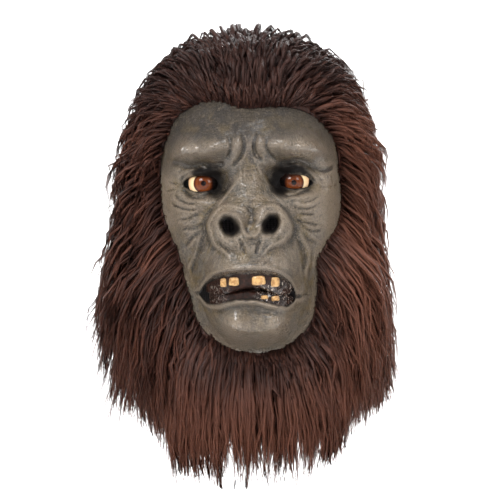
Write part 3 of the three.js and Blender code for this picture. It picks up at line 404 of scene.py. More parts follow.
def stroke(spec, x, z):
    """A ridge or groove: a bell of the distance from a line, soft shoulders beside it, and tapered ends."""
    wide, rise, shoulder, points = spec
    line = smooth_line(np.array(points, float))
    out = np.zeros(np.shape(x))
    low, high = line.min(0) - 5 * wide, line.max(0) + 5 * wide
    near = (x > low[0]) & (x < high[0]) & (z > low[1]) & (z < high[1])
    px, pz = x[near], z[near]
    far = np.full(px.shape, np.inf)
    place = np.zeros(px.shape)
    for k in range(len(line) - 1):
        ux, uz = line[k + 1] - line[k]
        t = np.clip(((px - line[k, 0]) * ux + (pz - line[k, 1]) * uz) / (ux * ux + uz * uz), 0, 1)
        d = np.hypot(px - line[k, 0] - t * ux, pz - line[k, 1] - t * uz)
        place = np.where(d < far, (k + t) / (len(line) - 1), place)
        far = np.minimum(far, d)
    ends = smooth(0, LINE_TAPER, place) * smooth(0, LINE_TAPER, 1 - place)
    beside = bell((far - SHOULDER_OFF * wide) / (SHOULDER_WIDE * wide))
    out[near] = ends * (rise * bell(far / wide) + shoulder * beside)
    return out


WARP_WAVES = 7
CREASE_DEPTH = 1.35  # raises every patch of creases alike


def warped(x, z, size, far, seed):
    """The place moved by a sum of slow waves of random direction, so that lines drawn on it wander."""
    rng = np.random.default_rng(seed)
    dx, dz = np.zeros(np.shape(x)), np.zeros(np.shape(x))
    for angle, phase, other in rng.uniform(0, 2 * np.pi, (WARP_WAVES, 3)):
        turn = (x * np.cos(angle) + z * np.sin(angle)) * 2 * np.pi / (size * rng.uniform(0.6, 1.6))
        dx = dx + np.sin(turn + phase)
        dz = dz + np.sin(turn * 1.3 + other)
    scale = far / np.sqrt(WARP_WAVES)
    return x + dx * scale, z + dz * scale


def creases(patch, x, z):
    """Fine parallel creases inside a soft-edged ellipse: sharp grooves where a warped wave crosses zero."""
    px, pz, wide, high, turn, spacing, depth, bow = patch
    u, v = turned(x - px, z - pz, turn)
    mask = 1 - smooth(0.5, 1.15, np.hypot((x - px) / wide, (z - pz) / high))
    wave = np.abs(np.sin((v + bow * u**2) * np.pi / spacing))
    broken = 0.55 + 0.45 * np.sin(u * 0.37 + np.floor((v + bow * u**2) / spacing) * 2.4)
    return CREASE_DEPTH * (mask * depth * broken * (0.45 - (1 - wave) ** 2.2))


def bridge(x, z):
    """The nose bridge's plate: a raised trapezoid that widens downwards from between the eyes."""
    half = 9.5 + 29 * smooth(-108, -156, z) ** 0.9
    top = smooth(-106, -116, z) * (1 - smooth(-146, -166, z))
    return 2.6 * top * (1 - smooth(-3.5, 3.0, np.abs(x - 2) - half))


def level(table, k, share):
    """Level in millimetres of an edge that a table's column gives as shares of the face's height."""
    return HAIRLINE_Z - column(table, k, share) * FACE_HEIGHT


def lip_gap(x, z):
    """Millimetres above the upper lip's edge and below the lower one's, and a share across the mouth."""
    share = x / FACE_HALF_WIDTH
    upper, lower = level(LIP_EDGES, 1, share), level(LIP_EDGES, 2, share)
    middle = (LIP_EDGES[0, 0] + LIP_EDGES[-1, 0]) / 2
    half = (LIP_EDGES[-1, 0] - LIP_EDGES[0, 0]) / 2
    return z - upper, lower - z, np.abs(share - middle) / half


def eye_share(eye, x, z):
    """0 in the middle of an almond and 1 on its edge, and u, which is -1 and 1 at the corners.

    The height shrinks towards the corners as 1 - u squared.
    """
    u, v = turned(x - eye["x"], z - eye["z"], eye["turn"])
    u = u / eye["wide"]
    narrowing = np.maximum(0.04, 1 - np.minimum(1.2, np.abs(u)) ** 2) ** 0.6
    lid = np.where(v > 0, eye["up"], eye["low"]) * narrowing
    return np.maximum(np.abs(v) / lid, np.abs(u)), u


def nostril_share(nostril, x, z):
    """0 in the middle of a turned oval, 1 on its edge."""
    nx, nz, wide, high, turn = nostril
    u, v = turned(x - nx, z - nz, turn)
    return np.hypot(u / wide, v / high)


def muzzle(x, z):
    """The muzzle's rise: full across its middle, and falling away to its half width at each level."""
    down = (HAIRLINE_Z - z) / FACE_HEIGHT
    half = column(MUZZLE, 1, down) * FACE_HALF_WIDTH
    rise = column(MUZZLE, 2, down) * MUZZLE_REACH
    return np.where(down < MUZZLE[0, 0], 0, rise * (1 - smooth(MUZZLE_FLAT, 1, np.abs(x) / half)))


LIP_ROLL = 2.4  # how proud the lips and lids stand beside the openings
LID_ROLL = 1.7
POCKET = 4.5  # how far the skin turns back at the mouth, at the eyes and at the nostrils
EYE_POCKET = 2.6
NOSTRIL_POCKET = 4.2


def openings_rise(x, z):
    """Lips, eyelids and nostril rims: a rounded roll beside each edge that turns back into the opening."""
    above, under, across = lip_gap(x, z)
    inside = (above < 0) & (under < 0) & (across < 1)
    fade = 1 - smooth(0.97, 1.18, across)
    tall = 1 - np.minimum(1, across) ** 2
    off, below = np.maximum(above, 0), np.maximum(under, 0)
    upper = LIP_ROLL * bell((off - 3.0 - 3.6 * tall) / 2.8) - POCKET * bell(off / (1.3 + 3.0 * tall))
    lower = LIP_ROLL * 0.9 * bell((below - 2.6) / 2.6) - POCKET * bell(below / 1.3)
    rise = fade * np.where(above > 0, upper, np.where(under > 0, lower, 0))
    rise = np.where(inside, -POCKET, rise)
    for eye in (LEFT_EYE, RIGHT_EYE):
        share, u = eye_share(eye, x, z)
        corner = 1 - smooth(0.75, 1.2, np.abs(u))
        rise += corner * LID_ROLL * bell((share - 1.3) / 0.22)
        rise -= EYE_POCKET * (1 - smooth(0.95, 1.12, share))
    for nostril in NOSTRILS:
        rise -= NOSTRIL_POCKET * (1 - smooth(0.55, 1.3, nostril_share(nostril, x, z)))
    return rise


def main_forms(x, z):
    """The forms that the back of the rubber follows too: the muzzle, the mounds and the openings."""
    rise = muzzle(x, z) + openings_rise(x, z)
    for spec in MOUNDS.values():
        rise = rise + mound(spec, x, z)
    return rise


def fine_forms(x, z):
    """Folds, wrinkles and small mounds, which only the front of the rubber shows."""
    rise = bridge(x, z)
    for spec in FINE_MOUNDS.values():
        rise = rise + mound(spec, x, z)
    wx, wz = warped(x, z, 34, 1.1, 5)
    for spec in STROKES.values():
        rise = rise + stroke(spec, wx, wz)
    fx, fz = warped(wx, wz, 15, 1.0, 6)
    for patch in PATCHES:
        rise = rise + creases(patch, fx, fz)
    return rise


def from_nose(x, z):
    """Distance from the face's centre on the nose, and the outline's radius in that direction."""
    return np.hypot(x, z - FACE_CENTRE_Z), outline_radius(np.arctan2(z - FACE_CENTRE_Z, x))


def edge_share(x, z):
    """Share of the outline's radius, from 0 on the nose to 1 at the face's edge."""
    far, radius = from_nose(x, z)
    return far / radius


def front_y(x, z):
    """Depth of the head's bare front: the ellipse of that level."""
    half = head_reach(z, HEAD_HALF_WIDTH, SIDE_TAPER)
    front = head_reach(z, HEAD_FRONT, FRONT_TAPER)
    return -front * np.sqrt(np.maximum(0, 1 - (x / half) ** 2))


def face_y(x, z, fine=True):
    """Depth of the rubber's front: the head's ellipse at that level, less the relief faded at the edge."""
    rise = main_forms(x, z) + (fine_forms(x, z) if fine else 0)
    share = edge_share(x, z)
    fade = np.where(rise < 0, smooth(HOLLOW_FADE, LAP_EDGE + 0.1, share), smooth(EDGE_FADE, 1, share))
    return front_y(x, z) - rise * (1 - fade)


def plain_y(x, z):
    """Depth of the muzzle's front without lips, folds or openings: gums and teeth are set from it."""
    return front_y(x, z) - muzzle(x, z)


def grid_faces(rows, columns, closed=True):
    """Quads of a grid of points, whose columns join round when closed."""
    r, c = np.meshgrid(np.arange(rows - 1), np.arange(columns if closed else columns - 1), indexing="ij")
    n = (c + 1) % columns
    quads = np.stack([r * columns + c, (r + 1) * columns + c, (r + 1) * columns + n, r * columns + n], -1)
    return quads.reshape(-1, 4)


def mesh_object(name, points, quads, triangles=None):
    """A mesh object at the origin from points in millimetres, quads and triangles."""
    mesh = bpy.data.meshes.new(name)
    quads = np.asarray(quads, dtype=np.int32).reshape(-1, 4)
    triangles = np.asarray([] if triangles is None else triangles, np.int32).reshape(-1, 3)
    corners = np.concatenate([quads.ravel(), triangles.ravel()])
    sizes = np.concatenate([np.full(len(quads), 4), np.full(len(triangles), 3)])
    mesh.vertices.add(len(points))
    mesh.vertices.foreach_set("co", (np.asarray(points) * MM).astype(np.float32).ravel())
    mesh.loops.add(len(corners))
    mesh.loops.foreach_set("vertex_index", corners.astype(np.int32))
    mesh.polygons.add(len(sizes))
    mesh.polygons.foreach_set("loop_start", np.concatenate([[0], np.cumsum(sizes)[:-1]]).astype(np.int32))
    mesh.polygons.foreach_set("use_smooth", np.ones(len(sizes), bool))
    mesh.update(calc_edges=True)
    mesh.validate()
    piece = bpy.data.objects.new(name, mesh)
    bpy.context.scene.collection.objects.link(piece)
    return piece


def set_values(piece, name, values):
    """A number for each point of the mesh, as an attribute that its material reads."""
    attribute = piece.data.attributes.new(name, "FLOAT", "POINT")
    attribute.data.foreach_set("value", np.asarray(values, np.float32))


def points_of(piece):
    """The mesh's points in millimetres."""
    flat = np.empty(len(piece.data.vertices) * 3, np.float32)
    piece.data.vertices.foreach_get("co", flat)
    return flat.reshape(-1, 3).astype(float) / MM


def prism(name, outline, from_y, to_y):
    """A closed prism along Y over an outline of x and z, for cutting an opening."""
    count = len(outline)
    ends = [np.column_stack([outline[:, 0], np.full(count, y), outline[:, 1]]) for y in (from_y, to_y)]
    mx, mz = outline.mean(0)
    middles = [[mx, y, mz] for y in (from_y, to_y)]
    points = np.concatenate([*ends, middles])
    here = np.arange(count)
    after = (here + 1) % count
    sides = np.column_stack([here, here + count, after + count, after])
    caps = np.concatenate([
        np.column_stack([here, after, np.full(count, 2 * count)]),
        np.column_stack([after + count, here + count, np.full(count, 2 * count + 1)]),
    ])
    return mesh_object(name, points, sides, caps)


def ringed(name, shell, poles, columns, inside_out=False):
    """A closed piece: rings of points in order, with a fan of triangles to a pole at each end."""
    rows = len(shell) // columns
    here = np.arange(columns)
    after = (here + 1) % columns
    last = (rows - 1) * columns
    fans = np.concatenate([
        np.column_stack([np.full(columns, len(shell)), here, after]),
        np.column_stack([np.full(columns, len(shell) + 1), last + after, last + here]),
    ])
    way = -1 if inside_out else 1
    quads = grid_faces(rows, columns)[:, ::way]
    return mesh_object(name, np.concatenate([shell, poles]), quads, fans[:, ::way])


def smoothed(piece):
    """Shades every face smooth."""
    piece.data.polygons.foreach_set("use_smooth", np.ones(len(piece.data.polygons), bool))


def cut(piece, tools):
    """Cuts the tools out of a closed piece, keeps the result as its mesh and deletes the tools."""
    for tool in tools:
        boolean = piece.modifiers.new(tool.name, "BOOLEAN")
        boolean.operation = "DIFFERENCE"
        boolean.solver = "MANIFOLD"
        boolean.object = tool
    evaluated = piece.evaluated_get(bpy.context.evaluated_depsgraph_get())
    mesh = bpy.data.meshes.new_from_object(evaluated)
    piece.modifiers.clear()
    piece.data = mesh
    smoothed(piece)
    for tool in tools:
        bpy.data.objects.remove(tool)


class Value:
    """A number socket in an expression: each operator adds its Math node."""

    def __init__(self, nodes, socket):
        self.nodes, self.socket = nodes, socket

    def _math(self, operation, *values):
        """The result of a Math node."""
        return self.nodes.add("ShaderNodeMath", {"operation": operation}, dict(enumerate(values)))[0]

    def __add__(self, other):
        return self._math("ADD", self, other)

    def __radd__(self, other):
        return self._math("ADD", other, self)

    def __sub__(self, other):
        return self._math("SUBTRACT", self, other)

    def __rsub__(self, other):
        return self._math("SUBTRACT", other, self)

    def __mul__(self, other):
        return self._math("MULTIPLY", self, other)

    def __truediv__(self, other):
        return self._math("DIVIDE", self, other)

    def root(self):
        """Its square root."""
        return self._math("SQRT", self)

    def clipped(self):
        """Kept between 0 and 1."""
        return self.nodes.add("ShaderNodeClamp", {}, {0: self})[0]

    def rising(self, low, high):
        """0 below low, 1 above high, and a smooth step between."""
        values = {"Value": self, "From Min": low, "From Max": high}
        return self.nodes.add("ShaderNodeMapRange", {"interpolation_type": "SMOOTHSTEP"}, values)[0]


class Nodes:
    """The node tree of one material."""

    def __init__(self, name):
        self.material = bpy.data.materials.new(name)
        self.material.use_nodes = True
        self.tree = self.material.node_tree
        self.tree.nodes.clear()

    def add(self, kind, settings=None, values=None):
        """A node of a type: its settings first, then its sockets' values or links. Returns its outputs."""
        node = self.tree.nodes.new(kind)
        for key, setting in (settings or {}).items():
            setattr(node, key, setting)
        for key, value in (values or {}).items():
            if isinstance(value, Value):
                self.tree.links.new(value.socket, node.inputs[key])
            else:
                node.inputs[key].default_value = value
        return [Value(self, output) for output in node.outputs]

    def place(self):
        """The point's Object coordinates in millimetres, and its x, y and z."""
        place = self.add("ShaderNodeTexCoord")[3]
        scaled = self.add("ShaderNodeVectorMath", {"operation": "SCALE"}, {0: place, "Scale": 1 / MM})[0]
        return scaled, *self.add("ShaderNodeSeparateXYZ", {}, {0: scaled})

    def attribute(self, name):
        """The number that the mesh carries under a name."""
        return self.add("ShaderNodeAttribute", {"attribute_name": name})[2]

    def noise(self, vector, size, detail=3.0, roughness=0.55, distortion=0.0):
        """Noise from 0 to 1 whose features are about size millimetres across."""
        values = {"Vector": vector, "Scale": 1 / size, "Detail": detail, "Roughness": roughness,
                  "Distortion": distortion}
        return self.add("ShaderNodeTexNoise", {}, values)[0]

    def stretched(self, vector, x, y, z):
        """The vector with each axis multiplied, so that a pattern on it is drawn out along the others."""
        return self.add("ShaderNodeVectorMath", {"operation": "MULTIPLY"}, {0: vector, 1: (x, y, z)})[0]

    def mixed(self, share, first, second):
        """A colour between two, each a socket or red, green and blue, at a share."""
        values = {"Factor": share}
        for socket, end in ((6, first), (7, second)):
            values[socket] = end if isinstance(end, Value) else (*end[:3], 1.0)
        return self.add("ShaderNodeMix", {"data_type": "RGBA"}, values)[2]

    def bump(self, height, strength, depth):
        """A normal from a height, whose full rise is depth millimetres."""
        values = {"Height": height, "Strength": strength, "Distance": depth * MM}
        return self.add("ShaderNodeBump", {}, values)[0]

    def principled(self, **sockets):
        """A Principled shader, with its sockets' names in plain words."""
        values = {key.replace("_", " "): value for key, value in sockets.items()}
        return self.add("ShaderNodeBsdfPrincipled", {}, values)[0]

    def finish(self, shader):
        """The material, ending in the shader."""
        self.add("ShaderNodeOutputMaterial", {}, {"Surface": shader})
        return self.material

    def surface(self, **sockets):
        """The material, ending in one Principled shader."""
        return self.finish(self.principled(**sockets))


# Glossy places with a painted sheen: x, z and radius in millimetres
GLOSSY_PAINTED_SHEEN_SPOTS = ((-54, -90, 16), (49, -93, 18), (-15, -241, 13), (23, -243, 15), (64, -122, 12), (-8, -120, 9))


def skin_material(looks):
    """Painted rubber: olive grey, purplish up the middle, ochre in low places, painted highlight on the
    ridges and painted shade in the creases.
    """
    n = Nodes("painted_rubber")
    place, x, _, z = n.place()
    hollow, basin = n.attribute("hollow"), n.attribute("basin")
    blotch = n.noise(place, 22, 4, 0.6)
    mottle = n.noise(place, 5, 4, 0.65)
    ochre = n.noise(place, 15, 4, 0.6, 0.8)
    streak = n.noise(n.stretched(place, 1, 1, 0.22), 3.2, 4, 0.65)
    middle = 1 - (x * x + (z + 78) * (z + 78) * 1.8).root().rising(4, 34)
    base = n.mixed(blotch.rising(0.35, 0.65), looks.skin, looks.skin_cool)
    base = n.mixed(middle * 0.8, base, looks.skin_purple)
    base = n.mixed(streak.rising(0.45, 0.75) * 0.4, base, looks.skin_pale)
    forehead = z.rising(-94, -74)
    base = n.mixed(forehead * 0.9, base, looks.skin_dark)
    base = n.mixed(forehead * streak.rising(0.45, 0.65) * 0.3, base, looks.skin_purple)
    # Painted light: paler over the cheeks and up the right side of the face
    cheeks = (x * x).root().rising(48, 72) * z.rising(-175, -150) * (1 - z.rising(-120, -100))
    cheek_and_right_painted_light = cheeks * (0.85 + x.rising(20, 60) * 0.15) + x.rising(20, 65) * 0.5
    base = n.mixed(cheek_and_right_painted_light.clipped(), base, looks.skin_pale)
    wash = ochre.rising(0.4, 0.62) * (0.25 + basin.rising(0.1, 1.2) * 0.6 + hollow.rising(0.0, 0.3) * 0.3)
    base = n.mixed(wash.clipped(), base, looks.skin_ochre)
    # Painted highlight on the ridges and broad rises, and painted shade in the creases and broad hollows
    base = n.mixed((hollow * -1).rising(0.03, 0.4) * 0.6, base, looks.skin_pale)
    base = n.mixed((basin * -1).rising(0.6, 2.2) * 0.25, base, looks.skin_pale)
    base = n.mixed(hollow.rising(0.07, 0.62) * 0.8, base, looks.skin_dark)
    base = n.mixed(basin.rising(0.4, 2.4) * 0.55, base, looks.skin_dark)
    paint_and_shade = n.attribute("paint_and_shade")
    wet = n.attribute("wet")
    damp = n.mixed(mottle.rising(0.4, 0.6), looks.skin_dark, looks.lip_wet)
    base = n.mixed(wet * 0.75, base, damp)
    pores = n.add("ShaderNodeTexVoronoi", {"feature": "F1"}, {"Vector": place, "Scale": 1 / 1.2})[0]
    cells = n.add("ShaderNodeTexVoronoi", {"feature": "DISTANCE_TO_EDGE"},
                  {"Vector": n.stretched(place, 1, 1, 0.6), "Scale": 1 / 2.6})[0]
    lumps = n.noise(place, 6, 4, 0.6)
    grain = n.noise(n.stretched(place, 0.3, 1, 1), 1.5, 4, 0.65)
    height = pores * 0.25 + cells.rising(0.0, 0.12) * 0.35 + lumps * 1.2 + grain
    height = height + n.noise(place, 1.8, 3) * 0.6
    fine = grain * 0.6 + n.noise(place, 1.3, 4, 0.7) * 0.6 + lumps * 0.3
    # Painted highlight and shade of the fine bumps: paler where the fine noise is high, darker where it is
    # low
    base = n.mixed(fine.rising(0.74, 0.9) * 0.6, base, looks.skin_pale)
    base = n.mixed((1.5 - fine).rising(0.76, 0.92) * 0.7, base, looks.skin_dark)
    brow = z.rising(-116, -104) * (1 - z.rising(-86, -76))
    chin = 1 - z.rising(-262, -238)
    nose = 1 - (x * x + (z + 170) * (z + 170)).root().rising(22, 44)
    base = n.mixed((brow * 0.2 + forehead * 0.6 + nose * 0.12).clipped(), base, looks.skin_dark)
    base = n.mixed(chin * 0.25, base, looks.skin_pale)
    # Painted sheen: a paler base colour on the glossy spots, which are also smoother and more coated below
    spots = 0
    for spot_x, spot_z, spread in GLOSSY_PAINTED_SHEEN_SPOTS:
        dx, dz = x - spot_x, z - spot_z
        spots = spots + 1 - (dx * dx + dz * dz).root().rising(3, spread)
    painted_sheen_and_gloss = spots.clipped() * streak.rising(0.3, 0.6)
    base = n.mixed(painted_sheen_and_gloss * 0.45, base, looks.skin_pale)
    shine = (brow * 0.3 + chin * 0.6 + cheeks * 0.5 + painted_sheen_and_gloss + blotch.rising(0.5, 0.7) * 0.3).clipped()
    roughness = (0.38 + mottle * 0.16 + forehead * 0.25 - shine * 0.24 - wet * 0.24).clipped()
    rubber = n.principled(Base_Color=base, Roughness=roughness, Normal=n.bump(height, 1.0, 1.3),
                          Coat_Weight=0.25 + shine * 0.6 + wet * 0.15 - forehead * 0.25, Coat_Roughness=0.18)
    # Black round the eyes, in the nostrils and along the lips: partly paint, partly painted shade
    black = n.principled(Base_Color=(0.004, 0.003, 0.003, 1), Roughness=0.6, Specular_IOR_Level=0.12)
    return n.finish(n.add("ShaderNodeMixShader", {}, {0: paint_and_shade * 0.97, 1: rubber, 2: black})[0])


# Painted shade towards the nose, painted shadow under the upper lid, and the black of the pupil
EYE_NOSEWARD_SHADE = (0.003, 0.002, 0.002)
PUPIL_BLACK = (0.006, 0.002, 0.002)
LID_SHADE = (0.010, 0.004, 0.003)


def eye_material(looks, eye):
    """A glass eye: a pupil, a dark amber ring with fine spokes, a cream ball, and painted shade towards the
    nose and under the lid.
    """
    n = Nodes("glass_eye")
    place, x, _, z = n.place()
    dx, dz = x - eye["pupil"][0], z - eye["pupil"][1]
    radius = (dx * dx + dz * dz).root()
    spokes = n.noise(n.stretched(place, 1, 0, 1), 0.8, 3, 0.6, 0.8)
    inward = dx * (-1 if eye["x"] > 0 else 1)
    ball = n.mixed(radius.rising(9.5, 16), looks.eye_white, looks.eye_edge)
    # Painted shade on the ball towards the nose
    ball = n.mixed(inward.rising(0.0, 4.0), ball, EYE_NOSEWARD_SHADE)
    ring = n.mixed(spokes.rising(0.3, 0.75), looks.iris, looks.iris_light)
    ring = n.mixed(1 - (radius - 4.6).rising(0.0, 0.9) * 0.55, ring, looks.iris)
    ring = n.mixed(radius.rising(5.6, 8.8), ring, looks.iris_rim)
    out = n.mixed(radius.rising(8.2, 9.1), ring, ball)
    out = n.mixed(radius.rising(1.8, 2.8), PUPIL_BLACK, out)
    # Painted shade towards the nose, and the painted shadow of the upper lid
    out = n.mixed(inward.rising(4.0, 9.5), out, EYE_NOSEWARD_SHADE)
    out = n.mixed((dz + inward * 0.15).rising(2.8, 6.4) * 0.85, out, LID_SHADE)
    return n.surface(Base_Color=out, Roughness=0.1, Specular_IOR_Level=0.2, Coat_Weight=0.15,
                     Coat_Roughness=0.03)


def gum_material(looks):
    """Wet dark red-brown flesh: a glossy coat over lumps, redder where the noise is high, with painted glints
    where it is slick.
    """
    n = Nodes("wet_gum")
    place, x, _, z = n.place()
    lumps = n.noise(place, 3.2, 4, 0.6)
    flecks = n.noise(place, 1.1, 3, 0.6)
    base = n.mixed(lumps.rising(0.35, 0.7), looks.gum, looks.gum_red)
    height = lumps + flecks * 0.7
    dull = ((x + 30) * (x + 30) / 50).rising(0.5, 2.2) * ((x - 20) * (x - 20) / 240).rising(0.5, 2.2)
    slick = (1 - dull) * (1 - z.rising(-209, -205))
    # Painted reflection: pale glint flecks in the base colour where the flesh is slick
    glint = n.noise(place, 2.2, 3, 0.6, 0.8).rising(0.55, 0.64) * slick
    base = n.mixed(glint * (0.3 + x.rising(-10, 10) * 0.45), base, looks.gum_painted_glint)
    return n.surface(Base_Color=base, Roughness=0.42 - slick * 0.3, Normal=n.bump(height, 1.0, 1.2),
                     Coat_Weight=slick * 0.9 + 0.02, Coat_Roughness=0.03, Specular_IOR_Level=0.2)


def tooth_material(looks):
    """Worn tooth: orange cream, browner in the pits and along fine upright cracks."""
    n = Nodes("worn_tooth")
    place = n.place()[0]
    stain = n.noise(place, 3.5, 4, 0.6)
    cracks = n.noise(n.stretched(place, 1, 1, 0.25), 0.9, 3, 0.6)
    base = n.mixed(stain.rising(0.4, 0.7), looks.tooth, looks.tooth_dark)
    base = n.mixed(cracks.rising(0.6, 0.75) * 0.5, base, looks.tooth_dark)
    return n.surface(Base_Color=base, Roughness=0.28, Normal=n.bump(stain + cracks * 0.5, 0.4, 0.4),
                     Coat_Weight=0.5, Coat_Roughness=0.1)


def hair_material(looks):
    """Brown hair: nearly black at the root, redder at the tip, in fine streaks along each lock."""
    n = Nodes("brown_hair")
    tone, along, lane, run, veil = (n.attribute(name) for name in ("tone", "along", "lane", "run", "veil"))
    place, x, _, z = n.place()
    grain = n.add("ShaderNodeCombineXYZ", {}, {0: lane, 1: run * 0.05, 2: tone * 3.0})[0]
    streak = n.noise(grain, 1.0, 3, 0.7)
    crown = z.rising(-90, -20) * 0.8
    low = 1 - z.rising(-380, -280)
    patch = n.noise(place, 34, 3, 0.5)
    base = n.mixed(along.rising(-0.1, 0.9), looks.hair_root, looks.hair_tip)
    base = n.mixed(streak.rising(0.44, 0.62) * (0.3 + along * 0.55), base, looks.hair_light)
    base = n.mixed((1 - streak).rising(0.48, 0.62) * 0.85, base, looks.hair_root)
    base = n.mixed(tone.rising(0.6, 1.0) * 0.35, base, looks.hair_light)
    base = n.mixed((1 - tone).rising(0.6, 1.0) * 0.6, base, looks.hair_root)
    base = n.mixed(patch.rising(0.4, 0.7) * 0.4, base, looks.hair_root)
    base = n.mixed(crown, base, looks.hair_root)
    middle = (1 - (x * x).root().rising(45, 90)) * (1 - z.rising(-230, -200)) * z.rising(-350, -320)
    base = n.mixed(middle * 0.3, base, looks.hair_root)
    # Lighter low down, and a painted highlight up the right side
    lighter_low_and_painted_light_right = (low * 1.4 + x.rising(60, 110) * (1 - crown) * 1.2).clipped()
    base = n.mixed(lighter_low_and_painted_light_right * 0.6, base, looks.hair_light)
    threads = (streak * 4 - 0.8 - along * along * 1.2 - along.rising(0.85, 1.04)).clipped()
    cover = 1 - veil * (1 - threads)
    return n.surface(Base_Color=base, Roughness=0.5, Normal=n.bump(streak, 0.7, 0.8), Alpha=cover,
                     Specular_IOR_Level=0.22)


def cloth_material(looks):
    """Dark knitted lining: fine ribs along the height crossed by stitches."""
    n = Nodes("knitted_lining")
    place, x, y, z = n.place()
    bearing = n.add("ShaderNodeMath", {"operation": "ARCTAN2"}, {0: x, 1: y})[0]
    rib = n.add("ShaderNodeMath", {"operation": "SINE"}, {0: bearing * 190.0})[0]
    stitch = n.add("ShaderNodeMath", {"operation": "SINE"}, {0: z * 3.4})[0]
    fuzz = n.noise(place, 1.2, 3)
    weave = rib * 0.3 + stitch * 0.2 + fuzz
    base = n.mixed(weave.rising(0.2, 1.0), looks.cloth, looks.cloth_light)
    return n.surface(Base_Color=base, Roughness=0.9, Normal=n.bump(weave, 0.5, 0.4), Sheen_Weight=0.3)


FACE_ANGLES = 372
FACE_RINGS = 150
FACE_BACK_RINGS = 18
SLOPE_STEP = 1.5  # how far to each side the slope is measured, in millimetres
CUT_BACK = -20  # depths between which the openings are cut
CUT_FRONT = -200
OVAL_POINTS = 48
LIP_POINTS = 40


def face_surface(shares, angles, fine, inset):
    """Rings round the nose at shares of the outline's radius, set back along the surface by inset."""
    a = circle(angles)
    radius = outline_radius(a)
    x = shares[:, None] * (radius * np.cos(a))[None]
    z = FACE_CENTRE_Z + shares[:, None] * (radius * np.sin(a))[None]
    y = face_y(x, z, fine)
    if inset:
        step = SLOPE_STEP
        sx = (face_y(x + step, z, fine) - face_y(x - step, z, fine)) / (2 * step)
        sz = (face_y(x, z + step, fine) - face_y(x, z - step, fine)) / (2 * step)
        length = np.sqrt(1 + sx**2 + sz**2)
        x, y, z = x - inset * sx / length, y + inset / length, z - inset * sz / length
    return np.stack([x, y, z], -1).reshape(-1, 3)


def oval(cx, cz, wide, up, low, turn):
    """An outline whose half width is wide and whose reach up and down differ."""
    a = circle(OVAL_POINTS)
    c, s = np.cos(turn * DEG), np.sin(turn * DEG)
    u, v = wide * np.cos(a), np.where(np.sin(a) > 0, up, low) * np.sin(a)
    return np.column_stack([cx + u * c - v * s, cz + u * s + v * c])


def lip_outline(inset):
    """The mouth's edge as a closed outline, moved inward by inset."""
    inward = inset / FACE_HALF_WIDTH
    share = np.linspace(LIP_EDGES[0, 0] + inward, LIP_EDGES[-1, 0] - inward, LIP_POINTS)
    upper, lower = level(LIP_EDGES, 1, share) - inset, level(LIP_EDGES, 2, share) + inset
    middle = (upper + lower) / 2
    upper, lower = np.maximum(upper, middle + 0.2), np.minimum(lower, middle - 0.2)
    x = share * FACE_HALF_WIDTH
    return np.concatenate([np.column_stack([x, lower]), np.column_stack([x, upper])[::-1]])


MAP_STEP = 0.7  # spacing of the depth map that the ochre wash, the painted shade and the painted highlights are worked out from
MAP_X = np.arange(-90, 90, MAP_STEP)
MAP_Z = np.arange(-285, -40, MAP_STEP)


def blurred(values, reach):
    """The map averaged with a bell of the given reach in millimetres, first down and then across."""
    size = int(3 * reach / MAP_STEP)
    weights = bell(np.arange(-size, size + 1) * MAP_STEP / reach)
    weights /= weights.sum()
    for axis in (0, 1):
        padded = np.pad(values, [(size, size) if k == axis else (0, 0) for k in (0, 1)], mode="edge")
        values = sum(w * np.roll(padded, -k, axis) for k, w in enumerate(weights))
        values = values[:-2 * size] if axis == 0 else values[:, :-2 * size]
    return values


def looked_up(values, x, z):
    """The map's value at each place, mixed from its four neighbours."""
    u = np.clip((x - MAP_X[0]) / MAP_STEP, 0, len(MAP_X) - 1.001)
    v = np.clip((z - MAP_Z[0]) / MAP_STEP, 0, len(MAP_Z) - 1.001)
    i, j = v.astype(int), u.astype(int)
    fu, fv = u - j, v - i
    low = values[i, j] * (1 - fu) + values[i, j + 1] * fu
    high = values[i + 1, j] * (1 - fu) + values[i + 1, j + 1] * fu
    return low * (1 - fv) + high * fv


def hollowness(points):
    """How far the front lies behind its surroundings, close by and farther off; below 0 on ridges."""
    x, z = np.meshgrid(MAP_X, MAP_Z)
    depth = main_forms(x, z) + fine_forms(x, z)
    fade = 1 - smooth(0.86, 0.98, edge_share(points[:, 0], points[:, 2]))
    near, far = blurred(depth, 2.2), blurred(depth, 9.0)
    close = looked_up(near - depth, points[:, 0], points[:, 2])
    wide = looked_up(far - near, points[:, 0], points[:, 2])
    return close * fade, wide * fade


def black_paint_and_shade(points):
    """Black, partly paint and partly painted shade: full inside each spot and gone a little beyond it, and in
    a line along the lips.
    """
    x, z = warped(points[:, 0], points[:, 2], 12, 0.8, 8)
    dark = np.zeros(len(points))
    for spot in BLACK_PAINT_AND_SHADE_SPOTS:
        dark = np.maximum(dark, 1 - smooth(0.6, 1.2, nostril_share(spot, x, z)))
    above, under, across = lip_gap(x, z)
    edge = np.maximum(np.maximum(above, under), (across - 1) * 40)
    return np.maximum(dark, 0.85 * (1 - smooth(0.2, 2.2, edge)))


def lip_wetness(points):
    """1 on the inner edge of the lips, which is wet and dark, and 0 from a few millimetres away."""
    above, under, across = lip_gap(points[:, 0], points[:, 2])
    middle = 1 - smooth(0.55, 0.95, across)
    upper = (1 - smooth(1.5 + 2.5 * middle, 3.0 + 4.0 * middle, above)) * (above > -4)
    lower = (1 - smooth(0.6, 2.6, under)) * (under > -4) * 0.7
    return np.where(above > under, upper, lower) * (1 - smooth(0.98, 1.05, across))


